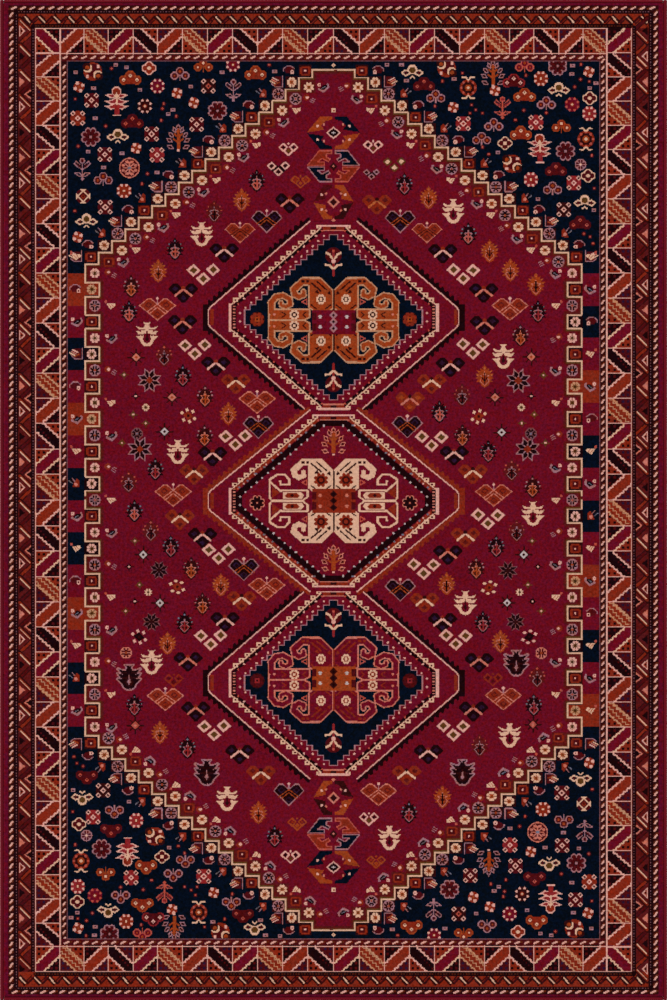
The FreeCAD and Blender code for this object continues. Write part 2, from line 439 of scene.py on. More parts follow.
def cell(needle, size, lean, bar, above, below):
    """One cell from its low left corner: lean is 1 for a bar that falls to the right."""
    wide_x, tall_y = size
    flat = needle if lean > 0 else needle.at(wide_x, 0, flip=True)
    fill, teeth = CELL_GROUNDS[bar]
    corner = flat.at(wide_x, tall_y, turn=180)
    half_cell(corner, size, above)
    half_cell(flat, size, below)
    flat.patch([(0, tall_y), (0, tall_y * 0.64), (wide_x * 0.7, 0), (wide_x, 0),
                (wide_x, tall_y * 0.34), (wide_x * 0.28, tall_y)], fill)
    steps = 5
    run, drop = wide_x * 0.72 / steps, tall_y * 0.64 / steps
    upper, lower = [(wide_x * 0.28, tall_y)], [(0, tall_y * 0.66)]
    for _ in range(steps):
        for stair in (upper, lower):
            x, y = stair[-1]
            stair += [(x + run * 0.75, y - drop * 0.25), (x + run, y - drop)]
    if bar == "checks":
        middle = [(0.1, tall_y * 0.84)]
        for _ in range(7):
            x, y = middle[-1]
            middle += [(x + 0.78, y), (x + 0.78, y - 0.72)]
        for shift in (-0.42, 0.42):
            flat.line([(x + shift, y + shift) for x, y in middle], "khaki", 0.2)
    if bar == "dark":
        for number in range(5):
            flat.block(0.45 + 0.62 * number, tall_y * 0.84 - 0.68 * number, 0.75 + 0.62 * number,
                       tall_y * 0.84 + 0.4 - 0.68 * number, "maroon")
    flat.line(upper, teeth, 0.38)
    flat.line(lower, teeth, 0.38)


def cell_line(number, count, half_length):
    """A cell boundary. Cells are a little wider in the middle of a side than near its corners."""
    part = (number - count / 2) / (count / 2)
    return half_length * (1.03 * part - 0.03 * part * abs(part))


FRAME_LINE = 0.15
across, along = main_wide - FRAME_LINE, main_long - FRAME_LINE
order_end = ("dark", "rust", "checks", "crimson")
beside_end = {"dark": ("rust", "maroon"), "rust": ("maroon", "ink"), "checks": ("maroon", "rust"),
              "crimson": ("ink", "rust")}
order_side = ("rust", "dark", "crimson", "checks")
beside_side = {"dark": ("rust", "maroon"), "rust": ("maroon", "ink"), "checks": ("rust", "maroon"),
               "crimson": ("rust", "ink")}
for half in halves:
    half.area = main
    for number in range(1, CELLS_SIDE + 1):
        top, low = (-cell_line(count, CELLS_SIDE, along) for count in (number - 1, number))
        bar = {1: "crimson", 2: "rust"}.get(number, order_side[number % 4])
        lean = 1 if number % 2 else -1
        cell(half.at(-across, low), (across - inner_wide, top - low), lean, bar, *beside_side[bar])
    for number in range(1, CELLS_END + 1):
        left, right = (cell_line(count, CELLS_END, across) for count in (number - 1, number))
        bar = "crimson" if number == 1 else order_end[(number - 1) % 4]
        lean = 1 if number % 2 else -1
        cell(half.at(left, inner_long), (right - left, along - inner_long), lean, bar, *beside_end[bar])
    for number in range(CELLS_END + 1):
        place = cell_line(number, CELLS_END, across)
        half.line([(place, inner_long), (place, along)], "blush", 0.2)
    for number in range(1, CELLS_SIDE):
        place = cell_line(number, CELLS_SIDE, along)
        half.line([(-across, place), (-inner_wide - 0.2, place)], "blush", 0.2)
    half.line([(-across, -along), (-across, along), (across, along)], "blush", 0.22)
    half.line([(-inner_wide - 0.2, -along), (-inner_wide - 0.2, along)], "blush", 0.22)
    half.line([(-across, inner_long + 0.2), (across, inner_long + 0.2)], "blush", 0.22)

# ---------------------------------------------------------------- inner guard
# A narrower barber pole of the same brown and blush wool, knotted on maroon along the ends and
# closed towards the field by a thin dusky line.
inner = footprint("pile_inner_guard")
field_wide, field_long = inner_wide - 1.6, inner_long - 1.7
knots[inner] = yarn_number["umber"]
for half in halves:
    half.area = inner
    end = half.at(0, inner_long - 0.75)
    half.block(-inner_wide, field_long, inner_wide, inner_long, "maroon")
    barber_pole(end, -inner_wide + 0.75, inner_wide, STROKE_END, (0.48, 0.22), "walnut")
    for place in np.arange(inner_long - 3.0, -inner_long, -STROKE_SIDE):
        side = half.at(-inner_wide + 0.75, place)
        side.line([(-0.3, -0.62), (0.3, 0.0)], "walnut", 0.45)
        side.line([(-0.26, -0.28), (0.26, 0.42)], "blush", 0.4)
    half.line([(-field_wide - 0.12, -field_long), (-field_wide - 0.12, field_long + 0.12),
               (field_wide, field_long + 0.12)], "dusk", 0.24)

# ---------------------------------------------------------------- corners and side columns
# Navy corners step in towards the rug's head and foot, and between them a narrow column of
# coloured blocks runs down each side, with a tab into the field at every second block.
STEPS, TABS = 17, 14
STEP_RUN, STEP_RISE = 3.2, 2.79
TAB_PITCH, TAB_HALF = 7.764, 1.68
crown_x, crown_y = 5.1, 101.2
column_x, tab_x = crown_x + STEP_RUN * STEPS, crown_x + STEP_RUN * STEPS - 3.4
field = footprint("pile_field")
corners = np.zeros_like(field)
for end in ("head", "foot"):
    for side in ("left", "right"):
        corners |= footprint("pile_corner_" + end + "_" + side)
knots[corners] = yarn_number["navy"]
columns_zone = footprint("pile_side_left") | footprint("pile_side_right")
BLOCKS = {
    1: "rust crimson navy crimson rust crimson navy crimson navy crimson rust crimson navy crimson",
    -1: "crimson navy crimson rust crimson navy crimson navy crimson rust crimson navy crimson rust",
}
for side, order in BLOCKS.items():
    needle = Needle(columns_zone).at(0, 0, flip=side < 0)
    top = TAB_PITCH * 7
    needle.block(-64, -60, -55, 60, "navy")
    for number, yarn in enumerate(order.split()):
        needle.block(-64, top - TAB_PITCH * (number + 1), -column_x, top - TAB_PITCH * number, yarn)

edge_line = [(0, crown_y + 1.9), (crown_x, crown_y + 1.9), (crown_x, crown_y)]
for number in range(STEPS):
    x, y = crown_x + STEP_RUN * (number + 1), crown_y - STEP_RISE * number
    edge_line += [(x, y), (x, y - STEP_RISE)]
edge_line.pop()
for number in range(7):
    middle = TAB_PITCH * (6.5 - number)
    edge_line += [(column_x, middle + TAB_HALF), (tab_x, middle + TAB_HALF), (tab_x, middle - TAB_HALF),
                  (column_x, middle - TAB_HALF)]
edge_line.append((column_x, 0))
FLOWER_SQUARE = (-1.55, -1.35, 1.55, 1.35)


def scallop(needle, petal, gap, heart, ground=None):
    """A flower of eight round petals, with gap between them, on a square of its own ground."""
    if ground:
        needle.block(*FLOWER_SQUARE, ground)
    needle.dot(0, 0, 0.85, petal)
    needle.dots_round(0.88, 0.34, petal)
    for turn in range(4):
        angle = math.tau * turn / 8
        x, y = 0.72 * math.cos(angle), 0.72 * math.sin(angle)
        needle.line([(-x, -y), (x, y)], gap, 0.16)
    needle.dot(0, 0, 0.42, gap)
    needle.dot(0, 0, 0.2, heart)


def ringed(needle, ring, petal, heart, ground=None):
    """A flower of eight dark petals, each in a thin ring."""
    if ground:
        needle.block(*FLOWER_SQUARE, ground)
    needle.dot(0, 0, 1.4, ring)
    for turn in range(8):
        angle = math.tau * (turn + 0.5) / 8
        needle.line([(0.55 * math.cos(angle), 0.55 * math.sin(angle)),
                     (0.98 * math.cos(angle), 0.98 * math.sin(angle))], petal, 0.42)
    needle.dot(0, 0, 0.25, heart)


def button(needle, rim, ground=None):
    """A small square with clipped corners and a light spot."""
    if ground:
        needle.block(*FLOWER_SQUARE, ground)
    needle.block(-1.3, -0.8, 1.3, 0.8, rim)
    needle.block(-1.0, -1.1, 1.0, 1.1, rim)
    needle.block(-0.75, -0.7, 0.75, 0.7, "maroon")
    needle.dot(0, 0, 0.24, "blush")


def bird(needle, kind):
    """A little bird of the stepped edge, head towards the middle."""
    if kind == "striped":
        needle.patch([(-0.3, 1.2), (1.2, 1.2), (1.2, -1.0), (-0.2, -1.1), (-1.2, -0.2)], "maroon")
        needle.line([(1.5, 1.4), (1.5, -1.2), (-0.3, -1.2), (-1.1, -0.5)], "plum", 0.22)
        for stripe, yarn in enumerate(("cream", "salmon", "blush")):
            shift = 0.36 * stripe
            needle.line([(-1.5 + shift, 0.2 + shift), (-0.3 + shift, -0.4 + shift)], yarn, 0.3)
        needle.line([(-0.4, -0.7), (0.7, -0.1)], "copper", 0.3)
    elif kind == "outlined":
        needle.patch([(-1.4, 0.1), (-0.6, 0.9), (0.5, 0.8), (1.0, 0.1), (0.5, -0.9), (-0.9, -0.6)], "maroon")
        needle.line([(-1.5, -0.2), (-1.5, 0.3), (-0.7, 1.0), (0.3, 1.0), (1.1, 0.4)], "plum", 0.22)
        needle.dot(0.6, -0.45, 0.5, "blush", 0.18)
    elif kind == "rusty":
        needle.patch([(0.2, 1.2), (0.8, 0.5), (0.8, -0.9), (-0.9, -1.0), (-0.5, 0.1)], "rust")
        needle.dot(-0.05, -0.25, 0.42, "salmon")
        for stripe, yarn in enumerate(("slate", "ink", "plum")):
            start = (-1.6 + stripe * 0.35, 0.6 + stripe * 0.3)
            needle.line([start, (-0.9 + stripe * 0.3, stripe * 0.25)], yarn, 0.22)
    elif kind == "dark":
        needle.line([(1.2, 0.6), (1.35, 0.0), (0.3, -1.1), (-0.9, -0.5)], "plum", 0.55)
        needle.patch([(-0.7, -0.4), (0.1, 0.5), (1.1, 0.4), (1.1, -0.1), (0.3, -0.8)], "ink")
        needle.line([(-0.2, -0.4), (0.6, 0.1)], "slate", 0.18)
        needle.dot(-0.85, 0.5, 0.45, "blush", 0.12)
    elif kind == "cream":
        needle.patch([(-1.0, 0.5), (-0.1, -0.9), (1.2, 0.0), (1.0, 0.6), (0.0, 0.5)], "cream")
        needle.line([(-0.5, 0.3), (0.1, -0.4)], "copper", 0.15)
        needle.line([(0.1, 0.4), (0.6, -0.2)], "copper", 0.15)
        needle.dot(-1.15, 0.95, 0.34, "coral")
    else:
        needle.dot(-0.7, 0.3, 0.75, "rust")
        needle.dot(-0.5, 0.25, 0.34, "blush")
        for stripe in range(3):
            start = (0.1 + stripe * 0.3, -0.6 + stripe * 0.35)
            needle.line([start, (1.0 + stripe * 0.25, -1.1 + stripe * 0.4)], "plum", 0.18)


for half in halves:
    for side in half.both():
        side.area = field
        side.line(edge_line, "sienna", 2.0)
        side.line([(x - 0.25, y - 0.3) for x, y in edge_line], "olive", 0.36)
        side.area = field | corners | columns_zone
        side.line(edge_line, "cream", 0.38)
    half.area = field | corners
    half.dot(0, 104.2, 0.42, "cream", 0.15)
    half.block(-0.5, 92.9, 0.5, 93.9, "cream")
    half.block(-0.2, 93.2, 0.2, 93.6, "rust")

OUTSIDE = ("button", "scallop", "ringed", "scallop")
OUTSIDE_BIRDS = ("outlined", "striped", "rusty")
INSIDE = {-1: ("scallop", "ringed", "scallop", "button"), 1: ("scallop", "button", "scallop", "ringed")}
INSIDE_BIRDS = {-1: ("dark", "plumed", "cream"), 1: ("plumed", "dark", "cream")}


def edge_flower(needle, kind, ground, petal):
    """A flower of the stepped edge on its square. petal is the yarn inside the ringed kind."""
    if kind == "scallop":
        scallop(needle, "cream", "copper", "olive", ground)
    elif kind == "ringed":
        ringed(needle, "plum", petal, "copper", ground)
    else:
        button(needle, "rust", ground)


for half in halves:
    for hand in (-1, 1):
        side = half.at(0, 0, flip=hand < 0)
        side.area = field | corners
        for number in range(STEPS):
            x, y = 6.8 + 3.21 * number, 102.9 - STEP_RISE * number
            edge_flower(side.at(x, y), OUTSIDE[number % 4], "umber", "umber")
            bird(side.at(x + 3.7, y + 0.1, flip=True), OUTSIDE_BIRDS[number % 3])
        for number in range(STEPS - 1):
            x, y = 5.9 + STEP_RUN * number, 98.9 - STEP_RISE * number
            edge_flower(side.at(x, y), INSIDE[hand][number % 4], "sienna", "ink")
            bird(side.at(x - 3.3, y + 0.1, flip=True), INSIDE_BIRDS[hand][number % 3])

SIDE_BIRDS = {
    -1: "cream outlined dark striped outlined dark cream rusty dark cream outlined dark cream rusty "
        "dark".split(),
    1: "cream dark outlined cream dark outlined cream dark rusty cream dark outlined cream dark "
       "cream".split(),
}
BAY_BIRDS = {-1: ("plumed", "cream", "dark"), 1: ("dark", "cream", "plumed")}
TAB_FLOWERS = {-1: "rust umber ink umber rust umber ink umber ink umber rust umber ink umber".split(),
               1: "umber ink umber rust umber ink umber ink umber rust umber ink umber rust".split()}
for hand in (-1, 1):
    side = Needle().at(0, 0, flip=hand < 0)
    side.area = field | corners | columns_zone
    for number in range(TABS):
        middle = TAB_PITCH * (6.5 - number)
        ground = TAB_FLOWERS[hand][number]
        side.area = columns_zone
        side.block(tab_x + 0.2, middle - 1.45, column_x + 0.2, middle + 1.45, ground)
        side.area = field | corners | columns_zone
        tab = side.at(57.95, middle)
        if ground == "umber":
            button(tab, "rust")
        else:
            scallop(tab, "khaki" if ground == "rust" else "blush", "olive", "umber")
    for number in range(TABS + 1):
        middle = TAB_PITCH * (7 - number)
        bay = side.at(57.2, middle)
        if number % 2:
            ringed(bay, "plum", "ink", "copper")
        else:
            scallop(bay, "blush", "olive", "umber")
        bird(side.at(53.4, middle, flip=True), BAY_BIRDS[hand][number % 3])
        side.area = columns_zone | corners
        bird(side.at(61.7, middle + 4.0, flip=True), SIDE_BIRDS[hand][number])
        side.area = field | corners | columns_zone

# ---------------------------------------------------------------- flowers of the corners
# Small flowers, trees and clouds scattered over the navy corners, each a few centimetres across.
# Opposite corners carry the same ones, turned half round.
def ring_diamond(needle, x, y, size, light, dark):
    """A diamond with a smaller one of another yarn inside it."""
    needle.lozenge(x, y, size, size, light)
    needle.lozenge(x, y, size * 0.45, size * 0.45, dark)


def diamond_disc(needle, fill="maroon", heart="blush"):
    """A round flower with four small diamonds and a larger one in the middle."""
    needle.dot(0, 0, 1.75, fill)
    for half in needle.both():
        for up in (-1, 1):
            half.line([(0.2, 0.2 * up), (0.9, 0.9 * up)], "umber", 0.2)
            ring_diamond(half, 1.15, 1.15 * up, 0.68, "blush", "umber")
    ring_diamond(needle, 0, 0, 0.75, heart, fill)


def pinwheel(needle, fill="rust", petal="blush"):
    """Four light petals set askew on a small round flower."""
    needle.dot(0, 0, 1.25, fill)
    for turn in range(4):
        angle = math.radians(25 + 90 * turn)
        needle.dot(0.95 * math.cos(angle), 0.95 * math.sin(angle), 0.42, petal)
    needle.dot(0, 0, 0.25, "copper")


def moons(needle):
    """A round flower with two crescents."""
    needle.dot(0, 0, 2.2, "rust")
    needle.dot(0.3, 0.2, 1.6, "maroon")
    for turn in (0, 180):
        part = needle.at(0, 0, turn=turn)
        part.dot(-1.2, 0.85, 1.1, "cream")
        part.dot(-1.45, 1.15, 0.95, "umber")
        part.dot(-1.3, 1.0, 0.5, "copper")
        part.dot(1.3, 1.2, 0.4, "blush")


def cloud(needle, fill="rust", edge="copper", rings="cream"):
    """Three lobes over a flat foot, each with a small ring."""
    needle.dot(0, 0.55, 1.35, edge)
    for half in needle.both():
        half.dot(1.6, -0.35, 1.1, edge)
        half.dot(1.6, -0.35, 0.8, fill)
    needle.dot(0, 0.55, 1.05, fill)
    needle.block(-1.6, -1.2, 1.6, -0.2, fill)
    ring_diamond(needle, 0, 0.75, 0.48, rings, "umber")
    for half in needle.both():
        ring_diamond(half, 1.6, -0.35, 0.48, rings, "umber")


def trefoil(needle, edge="plum", fill="maroon", heart="copper"):
    """Three ringed lobes on a short stem."""
    for half in needle.both():
        half.dot(1.3, -0.3, 0.95, edge)
        half.dot(1.3, -0.3, 0.7, fill)
        half.dot(1.3, -0.3, 0.3, heart)
    needle.dot(0, 0.7, 1.0, edge)
    needle.dot(0, 0.7, 0.74, fill)
    needle.dot(0, 0.7, 0.32, heart)
    needle.line([(0, -0.3), (0, -1.4)], edge, 0.35)


def winged_trefoil(needle):
    """A round top between two diamond wings in a bold outline, with a forked stem."""
    for half in needle.both():
        half.line([(0.5, -0.1), (1.6, 0.35), (2.5, -0.3), (1.7, -1.0), (0.5, -0.5)], "cream", 0.35,
                  closed=True)
        half.lozenge(1.6, -0.3, 0.5, 0.4, "maroon")
        half.line([(0, -1.2), (0.5, -1.6)], "cream", 0.3)
    needle.dot(0, 0.5, 1.15, "cream")
    needle.dot(0, 0.35, 0.75, "olive")


def dotted(needle, fill="crimson", dots="blush"):
    """A rosette with a dot on each of its eight petals."""
    needle.dot(0, 0, 1.7, fill)
    needle.dots_round(1.45, 0.3, dots)
    needle.dot(0, 0, 0.5, "rust")
    needle.dot(0, 0, 0.25, "cream")


def quatrefoil(needle, edge="blush", fill="rust"):
    """Four joined lobes in a thin edge, with a light heart."""
    for x, y in ((0.85, 0), (-0.85, 0), (0, 0.7), (0, -0.7)):
        needle.dot(x, y, 0.92, edge)
    for x, y in ((0.85, 0), (-0.85, 0), (0, 0.7), (0, -0.7)):
        needle.dot(x, y, 0.66, fill)
    needle.dot(0, 0, 0.45, "cream")


def eight_petals(needle, edge="plum", fill="maroon"):
    """A round flower of eight ringed petals."""
    for turn in range(8):
        needle.at(0, 0, turn=22.5 + 45 * turn).dot(0, 1.62, 0.74, edge)
    for turn in range(8):
        petal = needle.at(0, 0, turn=22.5 + 45 * turn)
        petal.line([(0, 0.4), (0, 1.3)], fill, 0.75)
        petal.dot(0, 1.55, 0.5, fill)
    for turn in range(8):
        needle.at(0, 0, turn=45 * turn).line([(0, 0.5), (0, 1.25)], "umber", 0.22)
    needle.dot(0, 0, 0.45, "umber")
    needle.dot(0, 0, 0.3, edge)


def arrow_tree(needle):
    """A tree of three tiers of drooping boughs with a cream heart."""
    for half in needle.both():
        for low, reach in ((1.2, 2.9), (-0.3, 3.0), (-1.5, 2.9)):
            half.patch([(0, low + 1.6), (1.2, low + 0.9), (reach, low + 0.6), (1.9, low + 0.1),
                        (1.3, low - 0.3), (0, low + 0.2)], "blush")
            half.patch([(0, low + 1.3), (1.1, low + 0.7), (2.0, low + 0.45), (1.1, low + 0.05),
                        (0, low + 0.1)], "madder")
    needle.dot(0, 2.6, 1.2, "blush")
    needle.dot(0, 2.5, 0.95, "rust")
    needle.block(-0.6, -3.0, 0.6, -1.0, "madder")
    needle.block(-1.0, -3.2, 1.0, -2.9, "blush")
    needle.patch([(-0.9, 0.9), (0, 2.4), (0.9, 0.9), (0.2, 1.3), (0.2, -0.6), (-0.2, -0.6),
                  (-0.2, 1.3)], "cream")


def leaf_tree(needle, edge="plum", fill="umber", heart="copper"):
    """A tree of ringed leaves round an orange heart."""
    for half in needle.both():
        for x, y, turn in ((1.9, -2.2, -65), (2.1, -0.6, -55), (1.7, 0.7, -40), (0.9, 1.9, -22)):
            leaf = half.at(x, y, turn=turn)
            leaf.lozenge(0, 0, 0.6, 0.95, edge)
            leaf.lozenge(0, 0, 0.32, 0.6, fill)
        half.line([(0.2, -0.9), (1.2, -0.3)], heart, 0.4)
        half.line([(0.2, 0.3), (0.9, 0.9)], heart, 0.4)
    needle.lozenge(0, 2.6, 0.6, 0.8, edge)
    needle.lozenge(0, 2.5, 0.3, 0.5, fill)
    needle.lozenge(0, 1.5, 0.5, 0.9, heart)
    needle.block(-0.4, -2.6, 0.4, 1.0, heart)
    needle.block(-0.35, -3.2, 0.35, -2.7, "blush")


def stem_plant(needle, edge="plum", fill="maroon"):
    """A stemmed plant with three petals over two leaves."""
    for half in needle.both():
        half.line([(0.2, -0.2), (1.2, 0.4), (1.9, 1.1), (1.5, 1.7), (0.5, 0.8)], edge, 0.22)
        half.patch([(0.3, 0.1), (1.2, 0.6), (1.7, 1.2), (0.5, 0.6)], fill)
        half.line([(0.1, -1.9), (0.8, -1.9), (1.8, -1.2), (0.7, -1.1), (0.1, -1.7)], edge, 0.22)
    needle.dot(0, 1.8, 0.65, edge)
    needle.dot(0, 1.8, 0.4, fill)
    needle.line([(0, 1.2), (0, -2.4)], edge, 0.32)
    needle.dot(0, -2.5, 0.4, edge)


def pomegranate(needle):
    """A fruit in a ring of teeth between cream leaves."""
    needle.dot(0, 0, 2.0, "rust")
    needle.dot(0, 0, 1.5, "umber")
    needle.dots_round(1.65, 0.3, "coral", start=0)
    needle.dot(0, 0, 0.8, "copper")
    needle.dot(0, 0, 0.35, "cream")
    for half in needle.both():
        for up in (-1, 1):
            half.line([(0.1, 1.9 * up), (0.7, 2.6 * up), (1.4, 2.5 * up)], "cream", 0.35)


def ornate_disc(needle, edge="salmon", fill="maroon"):
    """A large disc with eight spokes and a spot between each two."""
    needle.dot(0, 0, 2.45, edge)
    needle.dot(0, 0, 2.15, fill)
    for turn in range(8):
        angle = math.tau * turn / 8
        needle.line([(0.3 * math.cos(angle), 0.3 * math.sin(angle)),
                     (1.5 * math.cos(angle), 1.5 * math.sin(angle))], edge, 0.24)
        needle.dot(1.55 * math.cos(angle + 0.39), 1.55 * math.sin(angle + 0.39), 0.38, edge)
    needle.dot(0, 0, 0.4, "slate")


def cross_rosette(needle):
    """A disc with a bold cream cross, its ends spread."""
    needle.dot(0, 0, 1.75, "maroon")
    for turn in (0, 90, 180, 270):
        arm = needle.at(0, 0, turn=turn)
        arm.patch([(-0.9, 1.75), (0.9, 1.75), (0.25, 1.1), (-0.25, 1.1)], "cream")
        arm.line([(0.1, 1.2), (0.75, 0.55)], "cream", 0.25)
        arm.line([(-0.1, 1.2), (-0.75, 0.55)], "cream", 0.25)
    ring_diamond(needle, 0, 0, 0.6, "rust", "umber")


def check_square(needle):
    """A small square with a dark hole."""
    needle.block(-0.55, -0.4, 0.55, 0.4, "plum")
    needle.block(-0.25, -0.1, 0.25, 0.1, "ink")


def spot(needle):
    """A round spot with a bright heart."""
    needle.dot(0, 0, 0.5, "maroon")
    needle.dot(0, 0, 0.26, "coral")


HEAD_LEFT = [
    (moons, (-57.7, 102.7)), (cloud, (-48.7, 101.0)), (quatrefoil, (-44.2, 103.5)), (trefoil, (-36.8, 102.0)),
    (trefoil, (-31.2, 104.0), "copper", "rust", "cream"), (pinwheel, (-61, 99)), (dotted, (-42.2, 99.2)),
    (pinwheel, (-37.5, 97.5)), (diamond_disc, (-30, 99.2), "umber", "coral"), (diamond_disc, (-58, 95.8)),
    (arrow_tree, (-52, 95.3)), (dotted, (-45.2, 94.4), "umber"), (pinwheel, (-33.5, 95.2)),
    (eight_petals, (-27.8, 93.3)), (diamond_disc, (-61.3, 91.5), "rust"),
    (cloud, (-48.2, 90.6), "maroon", "maroon",
     "coral"), (diamond_disc, (-32.8, 90)), (eight_petals, (-58.2, 87)),
    (winged_trefoil, (-51.7, 87.3)), (diamond_disc, (-43.6, 87.7)), (leaf_tree, (-37.2, 86.8)),
    (pinwheel, (-47.3, 84.3)), (diamond_disc, (-54.8, 82.8)), (diamond_disc, (-42.3, 82.7), "madder"),
    (stem_plant, (-60.2, 79.5)), (ornate_disc, (-48.9, 79.6)), (trefoil, (-55.2, 76.9)),
    (dotted, (-50.2, 74.1), "rust"), (cross_rosette, (-60, 72.8)), (diamond_disc, (-54.7, 70.2)),
    (winged_trefoil, (-59.2, 67)), (pinwheel, (-61.3, 63)), (dotted, (-24.1, 104.3)),
    (cloud, (-18.7, 102.2)), (stem_plant, (-24, 98.4)),
]
HEAD_LEFT += [(check_square, place) for place in (
    (-61.8, 102.6), (-52.2, 104.3), (-49.6, 103.8), (-57.5, 98.8), (-46.4, 98.3), (-57.1, 91.6),
    (-34.2, 99.1),
    (-26.7, 102.6), (-58.8, 83.5), (-50.7, 83.2), (-38.5, 93.6), (-39.6, 92.6), (-55.1, 79.7), (-42.3, 78.6),
    (-14.1, 102.8))]
HEAD_LEFT += [(spot, place) for place in (
    (-53.2, 103.4), (-61.9, 96.1), (-54.6, 89.6), (-61.2, 84.8), (-40.7, 95), (-41, 93.8), (-37.7, 92),
    (-41.3, 91), (-44.6, 78.2), (-45.9, 75.8), (-62, 69.3), (-15.4, 104.3))]
HEAD_RIGHT = [
    (winged_trefoil, (18.9, 102.7)), (cloud, (21.7, 99.5), "maroon", "maroon", "coral"),
    (trefoil, (24.5, 96.6)),
    (moons, (27.1, 103.5)), (pomegranate, (32.3, 98.8)), (leaf_tree, (38.2, 102.2)), (pinwheel, (28.7, 94.1)),
    (cloud, (43.2, 100.3), "maroon", "madder", "blush"), (trefoil, (45.8, 104.0), "coral", "crimson"),
    (pinwheel, (38.7, 98.1)), (dotted, (49.7, 101), "rust"), (eight_petals, (53.7, 104)),
    (winged_trefoil, (54, 98.5)), (cloud, (45.8, 96.9)), (stem_plant, (40.5, 94.2), "coral", "madder"),
    (trefoil, (51, 95)), (dotted, (57.2, 94.8), "crimson", "coral"), (pinwheel, (61.2, 102.6)),
    (quatrefoil, (61.4, 96.3), "cream", "maroon"), (dotted, (61.3, 92.6), "madder"),
    (diamond_disc, (31.1, 90.2), "madder"), (trefoil, (38.4, 89.8)), (trefoil, (35.5, 86.5)),
    (cloud, (44.9, 87.8)), (quatrefoil, (41.1, 85.5), "cream", "maroon"),
    (diamond_disc, (48.5, 90.5), "madder"),
    (trefoil, (54.6, 89.5), "copper", "rust", "cream"), (pomegranate, (60.5, 86.5)), (arrow_tree, (49.4, 84)),
    (eight_petals, (55.6, 83.6)), (moons, (42.8, 80.6)), (ringed, (59.2, 80.4), "plum", "maroon",
     "cream"), (cloud, (53.3, 79.1), "maroon", "maroon", "coral"),
    (quatrefoil, (61, 77.7), "cream", "maroon"),
    (dotted, (47.3, 76.8), "madder"), (diamond_disc, (57.6, 76), "madder"), (trefoil, (52.5, 74.6)),
    (winged_trefoil, (60.2, 71.5)), (diamond_disc, (55.2, 69.6), "umber"),
    (cloud, (59.1, 66.3), "maroon", "maroon", "coral"),
]
HEAD_RIGHT += [(check_square, place) for place in (
    (12.8, 104.4), (16.3, 104.3), (17.5, 100.6), (28.9, 101), (57.3, 104.2), (57.1, 102.2), (39.4, 83.3),
    (49, 72.2), (62.4, 69.5), (61.4, 98.8), (62.9, 100))]
HEAD_RIGHT += [(spot, place) for place in (
    (26.1, 100.4), (30.9, 102.3), (24.3, 94.4), (33.1, 94.7), (34.1, 93.5), (32.7, 92.7), (35.7, 92.7),
    (46.1, 101.8), (45.6, 93.4), (43.6, 91.1), (51, 92.8), (35.7, 84.6), (37.2, 82.9), (59.3, 104.4),
    (59.2, 100.8), (57.8, 99), (61.3, 100.3), (61.9, 82.6), (62.5, 74.7), (60, 63.8), (61.5, 63.1),
    (62.2, 61.5))]
for half in halves:
    half.area = corners
    for motif, place, *colours in HEAD_LEFT + HEAD_RIGHT:
        motif(half.at(*place), *colours)

# ---------------------------------------------------------------- three medallions
# Three long diamonds stand in a row down the middle, joined point to point. Each has a cream
# outline with black or rust saw teeth outside it, a frame of little squares, and a heart of
# curled hooks round a square, with a flower at each side and a sprig at each end.
def staircase(start, run, drop, count):
    """The corners of a stair that goes left and down."""
    points = [start]
    for _ in range(count):
        x, y = points[-1]
        points += [(x - run, y), (x - run, y - drop)]
    return points


def curl(needle, points, edge, fill, first, last):
    """A hook's arm, as wide as first where it grows and as last at its tip, in a fine edge."""
    widths = np.linspace(first, last, len(points) - 1)
    for extra, yarn in ((0.3, edge), (-0.3, fill)):
        for start, end, width in zip(points, points[1:], widths):
            needle.line([start, end], yarn, width + extra)


def daisy(needle, petal, gap):
    """A small flower of eight petals round a ring."""
    flower = needle.at(0, 0, 0.92)
    flower.dot(0, 0, 1.05, petal)
    flower.dots_round(1.0, 0.34, petal)
    flower.dot(0, 0, 0.72, gap)
    flower.dot(0, 0, 0.4, petal)


SAW_TEETH, FRAME_SQUARES, FRAME_BEADS, CORE_STEPS = 19, 15, 16, 15


